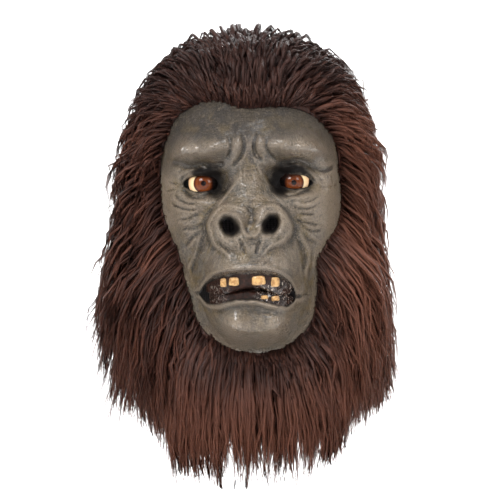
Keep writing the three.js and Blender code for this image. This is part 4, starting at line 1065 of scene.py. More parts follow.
def build_face():
    """The rubber face: a closed wall between a fine front and a plainer back, with its openings cut."""
    front_shares = np.linspace(0, 1, FACE_RINGS + 1)[1:]
    back_shares = np.linspace(0, 1, FACE_BACK_RINGS + 1)[1:][::-1]
    front = face_surface(front_shares, FACE_ANGLES, True, 0)
    back = face_surface(back_shares, FACE_ANGLES, False, SKIN_WALL)
    centre = np.array(0.0), np.array(FACE_CENTRE_Z)
    poles = [[0, float(face_y(*centre)), FACE_CENTRE_Z],
             [0, float(face_y(*centre, False)) + SKIN_WALL, FACE_CENTRE_Z]]
    piece = ringed("rubber_face", np.concatenate([front, back]), poles, FACE_ANGLES)
    tools = [prism("mouth_cut", lip_outline(0.3), CUT_FRONT, CUT_BACK)]
    for k, eye in enumerate((LEFT_EYE, RIGHT_EYE)):
        sizes = eye["wide"] * 0.97, eye["up"] * 0.95, eye["low"] * 0.95
        shape = oval(eye["x"], eye["z"], *sizes, eye["turn"])
        tools.append(prism(f"eye_cut_{k}", shape, CUT_FRONT, CUT_BACK))
    for k, (nx, nz, wide, high, turn) in enumerate(NOSTRILS):
        shape = oval(nx, nz, wide * 0.62, high * 0.62, high * 0.62, turn)
        tools.append(prism(f"nostril_cut_{k}", shape, CUT_FRONT, CUT_BACK))
    cut(piece, tools)
    made = points_of(piece)
    close, wide = hollowness(made)
    values = {"hollow": close, "basin": wide, "paint_and_shade": black_paint_and_shade(made), "wet": lip_wetness(made)}
    for key, numbers in values.items():
        set_values(piece, key, numbers)
    return piece


EYE_RINGS = 40
EYE_COLUMNS = 72


def dome(name, centre, radius, depth, bulge):
    """A ball's front down to a depth, closed by a flat back; the bulge raises a small cap on it."""
    angle = np.linspace(0, np.arccos(1 - depth / radius), EYE_RINGS + 1)[1:]
    a = circle(EYE_COLUMNS)
    x = radius * np.sin(angle)[:, None] * np.cos(a)[None]
    z = radius * np.sin(angle)[:, None] * np.sin(a)[None]
    y = -radius * np.cos(angle)[:, None] + 0 * x
    bx, bz, reach, height = bulge
    far = ((x + centre[0] - bx) ** 2 + (z + centre[2] - bz) ** 2) / reach**2
    y = y - height * bell(far)
    shell = np.stack([x + centre[0], y + centre[1], z + centre[2]], -1).reshape(-1, 3)
    top = [centre[0], centre[1] - radius, centre[2]]
    back = [centre[0], shell[-1, 1], centre[2]]
    return ringed(name, shell, [top, back], EYE_COLUMNS)


GUM_ROWS = 150
GUM_COLUMNS = 44
GUM_ROUND = 0.7  # power that squares off a gum's section
GUM_GAP = 1.3  # from the back of the lips
GUM_FULLNESS = 7.0  # half of a gum's depth


def bar_behind_lips(name, table, lumps, seed):
    """A gum: a bar along the back of the lips whose section bulges forward, with lumps as a sum of bells.

    table holds x in half face widths, the top and the foot as shares of the face's height.
    """
    rng = np.random.default_rng(seed)
    share = np.linspace(table[0, 0], table[-1, 0], GUM_ROWS)
    top, foot = level(table, 1, share), level(table, 2, share)
    a = circle(GUM_COLUMNS)
    x = (share * FACE_HALF_WIDTH)[:, None] + 0 * a
    middle, half = (top + foot)[:, None] / 2, (top - foot)[:, None] / 2
    z = middle + half * squared_off(np.sin(a), GUM_ROUND)
    lip_back = plain_y(x[:, :1], middle) + SKIN_WALL + GUM_GAP
    y = lip_back + GUM_FULLNESS * (1 - squared_off(np.cos(a), GUM_ROUND))
    spots = rng.uniform((x.min(), foot.min()), (x.max(), top.max()), (lumps, 2))
    for (sx, sz), rise in zip(spots, rng.uniform(0.3, 1.0, lumps)):
        y = y - rise * (np.cos(a) > 0) * np.exp(-(((x - sx) / 2.4) ** 2 + ((z - sz) / 1.9) ** 2))
    shell = np.stack([x, y, z], -1).reshape(-1, 3)
    ends = [shell[:GUM_COLUMNS].mean(0), shell[-GUM_COLUMNS:].mean(0)]
    return ringed(name, shell, ends, GUM_COLUMNS)


# Gums: x in half face widths, top and foot as shares of the face's height
UPPER_GUM = np.array([
    (-0.51, 0.69, 0.742), (-0.4, 0.672, 0.762), (-0.27, 0.66, 0.752), (-0.13, 0.654, 0.738), (0, 0.65, 0.734),
    (0.13, 0.652, 0.745), (0.26, 0.658, 0.765), (0.38, 0.674, 0.765), (0.47, 0.695, 0.74),
])
LOWER_GUM = np.array([
    (-0.48, 0.75, 0.8), (-0.34, 0.746, 0.814), (-0.17, 0.742, 0.82), (0, 0.742, 0.822), (0.15, 0.746, 0.826),
    (0.29, 0.753, 0.83), (0.42, 0.775, 0.815),
])

# Teeth: x in half face widths, share of the height, half width and half height in mm, how far the front lies
# behind the lips, lean in degrees and a seed for the chips in the edge
TEETH = {
    "upper_tooth_1": (-0.31, 0.707, 3.7, 4.0, 1.6, 3, 1),
    "upper_tooth_2": (-0.205, 0.704, 4.6, 3.8, 1.4, -2, 2),
    "upper_tooth_3": (0.055, 0.704, 6.2, 4.2, 1.3, 2, 3),
    "upper_tooth_4": (0.228, 0.713, 4.2, 4.4, 1.6, -4, 4),
    "lower_tooth_1": (0.11, 0.772, 3.3, 1.8, 2.0, 0, 5),
    "lower_tooth_2": (0.225, 0.779, 3.6, 2.4, 2.0, 6, 6),
}
TOOTH_DEPTH = 5.0
TOOTH_ROWS = 29
TOOTH_COLUMNS = 40
TOOTH_CHIPS = 4


def build_tooth(name, spec):
    """A tooth: a rounded box, its front bowed and its biting edge chipped by a few bells."""
    tx, down, half, high, behind, lean, seed = spec
    rng = np.random.default_rng(seed)
    x0, z0 = tx * FACE_HALF_WIDTH, HAIRLINE_Z - down * FACE_HEIGHT
    front = float(plain_y(np.array(x0), np.array(z0))) + behind
    up, a = np.linspace(-1, 1, TOOTH_ROWS)[:, None], circle(TOOTH_COLUMNS)
    swell = (1 - np.abs(up) ** 5) ** 0.35
    swell[[0, -1]] = 0.02
    u = squared_off(np.cos(a), 0.55) * (0.94 + 0.06 * -up) * swell
    v = squared_off(np.sin(a), 0.7) * swell
    places = rng.uniform(-0.9, 0.9, TOOTH_CHIPS)
    chips = sum(rng.uniform(0.02, 0.12) * bell((u - place) / 0.25) for place in places)
    w = up + 0 * u
    w = w + np.where(w < 0, chips * -w, 0)
    c, s = np.cos(lean * DEG), np.sin(lean * DEG)
    x = x0 + u * half * c - w * high * s
    z = z0 + u * half * s + w * high * c
    y = front + TOOTH_DEPTH / 2 + v * TOOTH_DEPTH / 2 + 0.35 * np.cos(u * 2.5) * (v < 0) * -1
    shell = np.stack([x, y, z], -1).reshape(-1, 3)
    ends = [shell[:TOOTH_COLUMNS].mean(0), shell[-TOOTH_COLUMNS:].mean(0)]
    return ringed(name + "_worn", shell, ends, TOOTH_COLUMNS, inside_out=True)


# The hair's flow: where a clump roots (degrees from the front towards +X, and a share of FUR_DROP down) and
# its tip from its root along X, Y and Z in millimetres
FUR_DROP = 388.0
FLOW = np.array([
    (0, 0.0, 0, 42, -3), (0, 0.05, 2, 42, 22), (0, 0.13, 3, 24, 38), (-30, 0.1, -18, 30, 20),
    (30, 0.1, 20, 30, 22), (-60, 0.05, -26, 26, -15), (60, 0.05, 29, 26, -13), (180, 0.02, 0, 42, -17),
    (-120, 0.04, -25, 24, -20), (120, 0.04, 27, 24, -18), (-90, 0.08, -24, 10, -28),
    (90, 0.08, 30, 10, -26), (-55, 0.16, -26, 8, -4), (55, 0.16, 32, 8, -4), (180, 0.14, 0, 26, -30),
    (-140, 0.14, -18, 20, -30), (140, 0.14, 18, 20, -30), (-90, 0.16, -22, 4, -34), (90, 0.16, 28, 4, -24),
    (-68, 0.22, -26, 6, -34), (66, 0.22, 34, 6, -26), (-90, 0.26, -26, 2, -60), (90, 0.26, 24, 2, -52),
    (180, 0.3, 0, 20, -80), (-140, 0.3, -14, 16, -80), (140, 0.3, 14, 16, -80), (-68, 0.34, -38, 6, -72),
    (70, 0.34, 32, 6, -58), (-92, 0.36, -50, 0, -84), (92, 0.36, 22, 2, -72), (-70, 0.44, -60, 2, -100),
    (74, 0.44, 36, 0, -84), (-92, 0.44, -70, 0, -94), (92, 0.46, 30, 0, -92), (180, 0.5, 0, 16, -100),
    (-140, 0.5, -14, 12, -100), (140, 0.5, 14, 12, -100), (-76, 0.54, -54, -4, -104),
    (78, 0.54, 42, -4, -100), (-60, 0.58, -26, -6, -112), (62, 0.58, 30, -6, -100),
    (-88, 0.56, -60, 0, -92), (88, 0.58, 42, 0, -90), (-50, 0.66, -20, -10, -106), (50, 0.66, 16, -8, -90),
    (-30, 0.7, -12, -8, -114), (30, 0.7, 12, -8, -108), (0, 0.72, 0, -6, -112), (180, 0.7, 0, 12, -92),
    (-78, 0.66, -26, 0, -76), (84, 0.66, 36, 0, -68), (-88, 0.74, -24, 0, -40), (84, 0.74, 32, 0, -40),
    (-50, 0.745, -18, 0, -78), (50, 0.745, 16, 0, -62), (-30, 0.745, -10, 0, -96), (30, 0.745, 12, 0, -90),
    (0, 0.745, 0, 6, -102), (-140, 0.7, -10, 10, -90), (140, 0.7, 10, 10, -90), (-110, 0.34, -26, -8, -84),
    (-110, 0.4, -34, -12, -90), (-110, 0.46, -40, -16, -92), (-110, 0.54, -34, -12, -90),
])
SPREAD_AZIMUTH = 20.0  # how fast the flow's influence falls off, in degrees and in shares of FUR_DROP
SPREAD_DOWN = 0.06

# Long locks that stand apart, of each hair piece: root (azimuth and share of FUR_DROP down), and tip and half
# width in millimetres
LOCKS = {
    "left_side_hair": (
        (-86, 0.24, (-104, 0, -118), 9), (-84, 0.3, (-116, -2, -148), 9), (-80, 0.33, (-129, -4, -180), 9),
        (-84, 0.36, (-142, 0, -212), 9), (-78, 0.42, (-155, -4, -252), 8), (-88, 0.44, (-149, 4, -234), 9),
        (-74, 0.4, (-142, -10, -262), 9), (-82, 0.48, (-144, -4, -298), 7),
        (-76, 0.54, (-138, -6, -324), 8), (-74, 0.55, (-124, -10, -344), 8),
        (-80, 0.5, (-131, -8, -316), 8), (-70, 0.5, (-118, -14, -302), 9), (-62, 0.6, (-88, -24, -336), 9),
        (-56, 0.62, (-84, -34, -344), 9), (-50, 0.65, (-70, -44, -356), 8),
    ),
    "right_side_hair": (
        (84, 0.16, (113, 4, -52), 10), (80, 0.2, (116, 0, -78), 10), (82, 0.26, (109, 0, -104), 10),
        (84, 0.36, (109, 0, -172), 10), (84, 0.42, (116, 0, -212), 10), (80, 0.5, (122, -4, -258), 10),
        (84, 0.56, (121, 0, -296), 10), (76, 0.58, (115, -10, -318), 9), (72, 0.6, (102, -14, -330), 9),
        (62, 0.62, (86, -26, -330), 9), (54, 0.64, (68, -38, -342), 8),
    ),
    "beard_hair": (
        (44, 0.68, (56, -54, -358), 8), (34, 0.7, (42, -60, -362), 8), (24, 0.72, (25, -66, -378), 8),
        (12, 0.73, (13, -70, -384), 9), (0, 0.73, (-2, -70, -378), 9), (-12, 0.73, (-16, -68, -378), 9),
        (-24, 0.72, (-33, -64, -376), 8), (-38, 0.69, (-51, -56, -366), 8),
    ),
}
CLUMPS_IN_A_LOCK = 10


def flow(azimuth, down):
    """Offset from a clump's root to its tip: the table's, weighted by a bell of the distance to each row."""
    swing = (azimuth[:, None] - FLOW[None, :, 0] + 180) % 360 - 180
    stretch = np.maximum(0.25, np.minimum(1, down / 0.12))[:, None]
    far = (swing * stretch / SPREAD_AZIMUTH) ** 2 + ((down[:, None] - FLOW[None, :, 1]) / SPREAD_DOWN) ** 2
    weight = np.exp(-far) + 1e-9
    return (weight[..., None] * FLOW[None, :, 2:]).sum(1) / weight.sum(1, keepdims=True)


def outside_face(points, margin):
    """True where a point of the head lies behind the front or outside the face's outline by a margin."""
    x, y, z = points.T
    far, radius = from_nose(x, z)
    return (y > -2) | (far > radius + margin)


# Hair pieces: the solid that each replaces, the region of its roots (azimuth and down, lowest and highest),
# the number of clumps over it and along the face's edge, strands in a clump, points in a strand, how far a
# clump draws together, and a seed
HAIR = {
    "crown_hair": ("crown_fur", (-180, 180), (0.0, 0.165), 2640, 420, 1, 5, 0.25, 11),
    "left_side_hair": ("left_side_fur", (-112, -36), (0.165, 0.745), 1250, 320, 1, 8, 0.5, 12),
    "right_side_hair": ("right_side_fur", (36, 112), (0.165, 0.745), 1250, 320, 1, 8, 0.45, 13),
    "back_hair": ("back_fur", (108, 252), (0.14, 0.745), 900, 0, 1, 7, 0.4, 14),
    "beard_hair": ("beard_fur", (-50, 50), (0.66, 0.755), 1150, 320, 1, 8, 0.5, 15),
}
STRAND_SIDES = 3
STRAND_WIDE = 0.2
VEIL_SIDES = 4  # a clump's veil is a flattened tube, clear between its hairs, that carries most of them
VEIL_SHARE = 0.95  # of the clump's half width
VEIL_FLAT = 0.55
FULL_SHARE = 0.42  # of the veils have no clear gaps
LOWEST = -378.0  # below this level the tips are drawn up
LANES = 900  # width in millimetres of the streak pattern over which the clumps are spread
CROWN_SHARE = 0.16  # of FUR_DROP, above which the hair stands up from the dome
TRIES = 8  # random places for each clump that is wanted, over a region and along the face's edge
EDGE_TRIES = 12
EDGE_BAND = (-1.5, 4.0)  # how far inside and outside the face's outline the hair along it roots

# Least and most half width of the clumps, the most that they lift near the root, and, along the face's edge,
# how much less they draw together and their share of the flow's length
CROWN_WIDE = (1.7, 3.6)
FIELD_WIDE = (2.2, 4.6)
EDGE_WIDE = (1.6, 3.2)
FIELD_LIFT = 20
EDGE_LIFT = 8
EDGE_PULL = 0.3
EDGE_REACH = (0.4, 0.95)


def place_of(points):
    """Azimuth in degrees and share of FUR_DROP down, of points of the head."""
    return np.arctan2(points[:, 0], -points[:, 1]) / DEG, (CROWN_Z - points[:, 2]) / FUR_DROP


def sow_roots(rng, azimuths, downs, count):
    """Even random roots over a region of the head, denser where the head is wider, none inside the face."""
    wanted = count * TRIES
    azimuth = rng.uniform(*azimuths, wanted)
    down = rng.uniform(*downs, wanted)
    z = CROWN_Z - down * FUR_DROP
    keep = rng.uniform(0, HEAD_HALF_WIDTH, wanted) < head_reach(z, HEAD_HALF_WIDTH, SIDE_TAPER) + 6
    keep |= down < CROWN_SHARE
    points = head_point(z, azimuth * DEG, 1.0)
    keep &= outside_face(points, 0.5)
    return points[keep][:count]


def sow_edge(rng, azimuths, downs, count):
    """Roots in a narrow band round the face's outline, within a region of the head."""
    a = rng.uniform(0, 2 * np.pi, count * EDGE_TRIES)
    radius = outline_radius(a) + rng.uniform(*EDGE_BAND, len(a))
    x, z = radius * np.cos(a), FACE_CENTRE_Z + radius * np.sin(a)
    points = np.stack([x, front_y(x, z), z], -1)
    azimuth, down = place_of(points)
    keep = (azimuth > azimuths[0]) & (azimuth < azimuths[1]) & (down > downs[0]) & (down < downs[1])
    return points[keep][:count]


def across(way):
    """Two unit vectors square to each row of way."""
    up = np.where(np.abs(way[..., 2:]) < 0.9, np.array([0.0, 0.0, 1.0]), np.array([1.0, 0.0, 0.0]))
    side = np.cross(way, up)
    side /= np.linalg.norm(side, axis=-1, keepdims=True)
    return side, np.cross(side, way)


def bowed(a, b, c, s):
    """Points of bowed lines from a past b to c at shares s."""
    s = s[..., None]
    return (1 - s) ** 2 * a[:, None, None] + 2 * s * (1 - s) * b[:, None, None] + s**2 * c[:, None, None]


class Clumps:
    """A set of clumps of hair: their roots, bends, tips, half widths and waves."""

    def __init__(self, rng, roots, bends, tips, wide, gather, lock):
        tips[:, 2] -= np.minimum(0, tips[:, 2] - LOWEST) * 0.75
        self.rng, self.wide, self.gather = rng, wide, gather
        self.roots, self.bends, self.tips = roots, bends, tips
        count, locks = len(roots), lock.max() + 1
        self.length = np.linalg.norm(tips - roots, axis=1)
        self.turns = self.length / (rng.uniform(6, 11, locks)[lock] * rng.uniform(0.85, 1.2, count))
        self.swing = rng.uniform(0.8, 2.3, locks)[lock] * rng.uniform(0.5, 1.5, count)
        self.phase = rng.uniform(0, 6, locks)[lock] + rng.normal(0, 0.7, count)
        self.tone = np.clip(rng.uniform(0.2, 0.8, locks)[lock] + rng.normal(0, 0.2, count), 0, 1)
        self.full = rng.uniform(0, 1, count) < FULL_SHARE
        self.plane = rng.uniform(0.5, 2.6, locks)[lock]

    def guides(self, s):
        """Points of the clumps' middle lines at shares s, and two directions across them."""
        guide = bowed(self.roots, self.bends, self.tips, s)
        way = np.gradient(guide, axis=2)
        way /= np.linalg.norm(way, axis=-1, keepdims=True) + 1e-9
        side, off = across(way)
        wave = np.sin(s * self.turns[:, None, None] + self.phase[:, None, None]) * self.swing[:, None, None]
        wave = wave * np.minimum(1, s * 3) * (1 + s)
        turn = self.plane[:, None, None, None]
        return guide + (side * np.cos(turn) + off * np.sin(turn)) * wave[..., None], side, off

    def veils(self, count_points):
        """Middle line, half width and shares of each clump's veil, which is drawn in a little to the tip."""
        s = np.tile(np.linspace(0, 1.04, count_points), (len(self.roots), 1, 1))
        guide, _, _ = self.guides(s)
        t = s[:, 0]
        swell = 0.55 + 0.45 * smooth(0, 0.25, t)
        drawn = 1 - np.where(self.full[:, None], 0.92, 0.7) * smooth(0.4, 1.04, t)
        wide = self.wide * np.where(self.full, 0.6, 1)
        width = wide[:, None] * VEIL_SHARE * swell * drawn * (1 - 0.3 * self.gather * t)
        return guide[:, 0], width, t

    def strands(self, strands, count_points):
        """Paths of the strands: each has its own reach, place in the clump and curl, and a few stray."""
        rng, count = self.rng, len(self.roots)
        reach = rng.uniform(0.6, 1.06, (count, strands))
        s = np.linspace(0, 1, count_points)[None, None, :] * reach[..., None]
        guide, side, off = self.guides(s)
        angle = rng.uniform(0, 2 * np.pi, (count, strands))[..., None]
        spread = rng.uniform(0.55, 1.05, (count, strands))[..., None]
        loose = rng.uniform(0, 1, (count, strands, 1)) < 0.4
        stray = np.where(loose, rng.uniform(0.4, 1.7, (count, strands, 1)), 0)
        round_ = self.wide[:, None, None] * spread * (1 - self.gather * smooth(0, 1, s) + stray * s)
        curl = np.sin(s * self.turns[:, None, None] * 2.3 + angle * 3)
        curl = curl * rng.uniform(0.2, 1.5, (count, strands, 1))
        sideways = round_ * np.cos(angle) + curl * np.minimum(1, s * 3)
        outward = round_ * np.sin(angle) * 0.7 + curl * s * 0.6
        path = guide + side * sideways[..., None] + off * outward[..., None]
        tone = np.clip(self.tone[:, None] + rng.normal(0, 0.25, (count, strands)), 0, 1)
        return path.reshape(-1, count_points, 3), s.reshape(-1, count_points), tone.ravel()


def outward_of(roots):
    """Unit vectors away from the head's middle: level below its widest level, and rising over the dome."""
    outward = roots * np.array([1.0, 1.0, 0.0])
    outward[:, 2] = np.maximum(0, roots[:, 2] - WIDEST_Z)
    return outward / np.linalg.norm(outward, axis=1, keepdims=True)


def field_clumps(rng, roots, wide, gather, lift_most, lock_pull, reach=(0.82, 1.1)):
    """Clumps that follow the flow from their roots, lifted near the root and drawn together in locks."""
    azimuth, down = place_of(roots)
    offset = flow(azimuth, down) * rng.uniform(*reach, (len(roots), 1))
    offset += rng.normal(0, 1, (len(roots), 3)) * np.array([4.0, 4.0, 3.5])
    middles = roots[:: CLUMPS_IN_A_LOCK]
    nearest = np.argmin(((roots[:, None] - middles[None]) ** 2).sum(-1), axis=1)
    drift = rng.normal(0, 1, (len(middles), 3)) * np.array([6.0, 3.0, 4.0])
    tips = roots + offset
    count = np.maximum(1, np.bincount(nearest, minlength=len(middles)))[:, None]
    together = np.stack([np.bincount(nearest, tips[:, k], len(middles)) for k in range(3)], 1) / count + drift
    offset += (together[nearest] - tips) * (lock_pull * np.minimum(1, len(middles) / 8))
    length = np.linalg.norm(offset, axis=1)
    falling = smooth(CROWN_SHARE, 0.3, down)[:, None]
    lift = np.minimum(lift_most, 0.3 * length)[:, None] * outward_of(roots)
    lift *= rng.uniform(0.6, 1.3, (len(roots), 1))
    lift *= 2.2 - 1.2 * falling
    bends = roots + lift * (1 + 0.4 * falling) + offset * (0.3 + falling * np.array([0.16, 0.16, -0.04]))
    tips = roots + offset + (0.12 + 0.13 * falling) * lift
    return Clumps(rng, roots, bends, tips, rng.uniform(*wide, len(roots)), gather, nearest)


def lock_clumps(rng, name, gather):
    """The long locks of a piece, each of several clumps side by side."""
    rows = [row for row in LOCKS[name] for _ in range(CLUMPS_IN_A_LOCK)]
    azimuth, down, tips, wide = (np.array(values) for values in zip(*rows))
    azimuth = azimuth + rng.normal(0, 4, len(rows))
    down = down + rng.normal(0, 0.015, len(rows))
    roots = head_point(CROWN_Z - down * FUR_DROP, azimuth * DEG, 0.0)
    tips = tips + rng.normal(0, 1, (len(rows), 3)) * 4
    tips = roots + (tips - roots) * rng.uniform(0.88, 1.08, (len(rows), 1))
    wide = wide * rng.uniform(0.25, 0.5, len(rows))
    bends = roots + (tips - roots) * np.array([0.62, 0.62, 0.36])
    return Clumps(rng, roots, bends, tips, wide, gather, np.arange(len(rows)) // CLUMPS_IN_A_LOCK)


def tubes(paths, wide, sides, flat=1.0):
    """Tubes along paths with a half width at each point, flattened across: points, quads and end faces."""
    count, count_points = paths.shape[:2]
    way = np.gradient(paths, axis=1)
    way /= np.linalg.norm(way, axis=-1, keepdims=True) + 1e-9
    side, off = across(way)
    a = np.arange(sides) * 2 * np.pi / sides
    ring = side[:, :, None] * np.cos(a)[:, None] + flat * off[:, :, None] * np.sin(a)[:, None]
    points = paths[:, :, None] + ring * wide[:, :, None, None]
    quads = grid_faces(count_points, sides)
    size = count_points * sides
    first = (np.arange(count) * size)[:, None, None]
    fan = np.array([[0, k, k + 1] for k in range(1, sides - 1)])
    ends = np.concatenate([fan, size - 1 - fan])
    return points.reshape(-1, 3), (quads[None] + first).reshape(-1, 4), (ends[None] + first).reshape(-1, 3)


def strand_widths(paths):
    """Half widths along a strand: fullest in its first half and drawn out to a point."""
    t = np.linspace(0, 1, paths.shape[1])
    return np.tile(STRAND_WIDE * np.maximum(0.08, np.sqrt(1 - t**1.7)), (len(paths), 1))


def hair_clumps(rng, name, spec):
    """The clumps of a hair piece: over its region, along the face's edge, and its long locks."""
    node, azimuths, downs, clumps, edge, strands, _, gather, _ = spec
    roots = sow_roots(rng, azimuths, downs, clumps)
    wide = CROWN_WIDE if node == "crown_fur" else FIELD_WIDE
    groups = [(field_clumps(rng, roots, wide, gather, FIELD_LIFT, gather), strands)]
    if edge:
        roots = sow_edge(rng, azimuths, downs, edge)
        fringe = field_clumps(rng, roots, EDGE_WIDE, gather, EDGE_LIFT, EDGE_PULL * gather, EDGE_REACH)
        groups.append((fringe, strands))
    if name in LOCKS:
        groups.append((lock_clumps(rng, name, gather), strands))
    return groups


def hair_group(rng, clumps, strands, count_points):
    """The veils and strands of some clumps: tubes and their along, tone, lane, run and veil values."""
    guides, width, share = clumps.veils(count_points)
    shape = (*share.shape, VEIL_SIDES)
    turn = np.arange(VEIL_SIDES) / VEIL_SIDES
    lane = rng.uniform(0, LANES, len(guides))[:, None, None]
    lane = lane + turn * 7.5 * clumps.wide[:, None, None] * VEIL_SHARE
    length = (clumps.length[:, None] * share)[..., None]
    clear = np.where(clumps.full, 0.0, 1.0)[:, None, None]
    values = (share[..., None], clumps.tone[:, None, None], lane, length, clear)
    veils = tubes(guides, width, VEIL_SIDES, VEIL_FLAT), *(np.broadcast_to(v, shape) for v in values)
    paths, share, tones = clumps.strands(strands, count_points)
    shape = (*share.shape, STRAND_SIDES)
    own = rng.uniform(0, LANES, len(paths))[:, None, None]
    length = np.repeat(clumps.length, strands)[:, None] * share
    values = (share[..., None], tones[:, None, None], own, length[..., None], 0.0)
    lines = tubes(paths, strand_widths(paths), STRAND_SIDES), *(np.broadcast_to(v, shape) for v in values)
    return [veils, lines]


def build_hair(name, spec):
    """One piece of hair: the veils of its clumps and their strands, in a single mesh."""
    rng = np.random.default_rng(spec[-1])
    made = []
    for clumps, strands in hair_clumps(rng, name, spec):
        made += hair_group(rng, clumps, strands, spec[6])
    points, quads, ends, first = [], [], [], 0
    for (p, q, e), *_ in made:
        points.append(p)
        quads.append(q + first)
        ends.append(e + first)
        first += len(p)
    piece = mesh_object(name, np.concatenate(points), np.concatenate(quads), np.concatenate(ends))
    for k, key in enumerate(("along", "tone", "lane", "run", "veil")):
        set_values(piece, key, np.concatenate([group[k + 1].ravel() for group in made]))
    return piece


BACKING_OUT = 5.0  # how far the hide stands out from the head, beside the face and on its inside
BACKING_EDGE = 0.8
BACKING_IN = 3.3
BACKING_ROWS = 60
BACKING_COLUMNS = 140
BACKING_DOME = 0.35  # share of the rows that lie over the dome


def build_backing():
    """The hide under the hair: a closed shell over the head, open at the neck and cut out for the face."""
    t = np.linspace(0, 1, BACKING_ROWS)
    azimuth = circle(BACKING_COLUMNS)[None, :] + np.zeros((BACKING_ROWS, 1))

    def wall(inset):
        """Rings of the head moved in by inset, from the crown down to the neck."""
        top = CROWN_Z - inset
        over = WIDEST_Z + (top - WIDEST_Z) * np.cos(t / BACKING_DOME * np.pi / 2)
        under = WIDEST_Z + (NECK_Z - WIDEST_Z) * (t - BACKING_DOME) / (1 - BACKING_DOME)
        z = np.where(t < BACKING_DOME, over, under)
        return head_point(np.minimum(z, top - 0.4)[:, None] + 0 * azimuth, azimuth, inset)

    outer, inner = wall(-BACKING_OUT), wall(BACKING_IN)[::-1]
    x, y, z = outer[..., 0], outer[..., 1], outer[..., 2]
    far, radius = from_nose(x, z)
    near = (1 - smooth(1, 20, far - radius)) * (y < 0)
    outer = outer + (wall(-BACKING_EDGE) - outer) * near[..., None]
    shell = np.concatenate([outer, inner]).reshape(-1, 3)
    poles = [[0, 0, CROWN_Z + BACKING_OUT], [0, 0, CROWN_Z - BACKING_IN]]
    piece = ringed("hair_backing", shell, poles, BACKING_COLUMNS)
    a = circle(120)
    radius = outline_radius(a) + 0.4
    outline = np.column_stack([radius * np.cos(a), FACE_CENTRE_Z + radius * np.sin(a)])
    cut(piece, [prism("face_cut", outline, CUT_FRONT, -1)])
    made = points_of(piece)
    bearing = np.arctan2(made[:, 0], -made[:, 1])
    backing = (("along", 0.12), ("tone", 0.4), ("lane", bearing * 85), ("run", -made[:, 2]), ("veil", 0.0))
    for key, values in backing:
        set_values(piece, key, np.broadcast_to(values, len(made)))
    return piece


def dressed(piece, material):
    """Gives a piece its only material."""
    piece.data.materials.clear()
    piece.data.materials.append(material)


def finished(piece, material, slot, *nodes):
    """Gives a piece its material, lets it ride on the mask and hides the solids that it stands for."""
    dressed(piece, material)
    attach(piece, "root")
    if nodes:
        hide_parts(*nodes)


def swatch(name, description, default):
    """A colour property."""
    return bpy.props.FloatVectorProperty(
        name=name, description=description, default=default, subtype="COLOR", size=3, min=0, max=1)


class MASK_PG_skin(bpy.types.PropertyGroup):
    """Colours of the painted rubber."""

    skin: swatch("Skin", "Olive grey of the painted rubber", (0.098, 0.071, 0.047))
    skin_cool: swatch("Cool skin", "Cooler grey patches", (0.098, 0.088, 0.074))
    skin_purple: swatch("Purple skin", "Purplish grey up the middle", (0.082, 0.070, 0.072))
    # Pale skin is also the painted highlight on the ridges, the cheeks and the glossy spots
    skin_pale: swatch("Pale skin", "Ridges and rubbed places", (0.26, 0.203, 0.147))
    skin_ochre: swatch("Ochre", "Wash that gathered in low places", (0.150, 0.100, 0.033))
    # Dark skin is also the painted shade in the creases and hollows
    skin_dark: swatch("Dark skin", "Bottom of the creases", (0.018, 0.013, 0.009))
    lip_wet: swatch("Wet lip", "Brown of the lips' wet edge", (0.075, 0.045, 0.030))


class MASK_PG_mouth_and_eyes(bpy.types.PropertyGroup):
    """Colours of the eyes, teeth and gums."""

    eye_white: swatch("Eyeball", "Cream of the eyeball", (0.90, 0.66, 0.38))
    eye_edge: swatch("Eyeball edge", "Warm edge of the eyeball", (0.50, 0.20, 0.09))
    iris: swatch("Iris", "Amber of the iris", (0.13, 0.030, 0.008))
    iris_light: swatch("Iris spokes", "Lighter spokes of the iris", (0.30, 0.080, 0.018))
    iris_rim: swatch("Iris rim", "Dark rim of the iris", (0.035, 0.006, 0.003))
    tooth: swatch("Tooth", "Orange cream of the teeth", (0.58, 0.35, 0.14))
    tooth_dark: swatch("Tooth stain", "Brown stain on the teeth", (0.26, 0.115, 0.035))
    gum: swatch("Gum", "Dark flesh of the gums", (0.011, 0.005, 0.003))
    gum_red: swatch("Red gum", "Redder lumps of the gums", (0.035, 0.012, 0.007))
    # The gum fleck colour is a painted reflection of light on the wet gums
    gum_painted_glint: swatch("Gum fleck", "Pale glints on the gums", (0.55, 0.47, 0.40))


class MASK_PG_hair(bpy.types.PropertyGroup):
    """Colours of the hair and of the lining."""

    hair_root: swatch("Hair root", "Dark root of the hair", (0.018, 0.0065, 0.005))
    hair_tip: swatch("Hair tip", "Redder tip of the hair", (0.080, 0.026, 0.016))
    hair_light: swatch("Light hair", "Lightest strands", (0.19, 0.070, 0.042))
    cloth: swatch("Lining", "Dark knitted lining", (0.02, 0.017, 0.018))
    cloth_light: swatch("Lining highlights", "Raised loops of the lining", (0.05, 0.043, 0.044))


class MASK_PG_stage(bpy.types.PropertyGroup):
    """Camera and floor."""

    distance: bpy.props.FloatProperty(
        name="Camera distance", description="From the camera to the mask's axis", default=2.4, unit="LENGTH")
    view_width: bpy.props.FloatProperty(
        name="View width", description="Width seen at the depth of the face", default=0.425, unit="LENGTH")
    face_depth: bpy.props.FloatProperty(
        name="Face depth", description="From the mask's axis to the face", default=0.115, unit="LENGTH")
    view_x: bpy.props.FloatProperty(
        name="View across", description="Middle of the view along X", default=-0.0017, unit="LENGTH")
    view_z: bpy.props.FloatProperty(
        name="View height", description="Middle of the view along Z", default=-0.1794, unit="LENGTH")
    roll: bpy.props.FloatProperty(
        name="Roll", description="Tilt of the camera", default=-2.5 * DEG, subtype="ANGLE")
    floor_drop: bpy.props.FloatProperty(
        name="Floor", description="Height of the floor", default=-0.62, unit="LENGTH")


SETTINGS = {
    "mask_skin": MASK_PG_skin,
    "mask_mouth_and_eyes": MASK_PG_mouth_and_eyes,
    "mask_hair": MASK_PG_hair,
    "mask_stage": MASK_PG_stage,
}


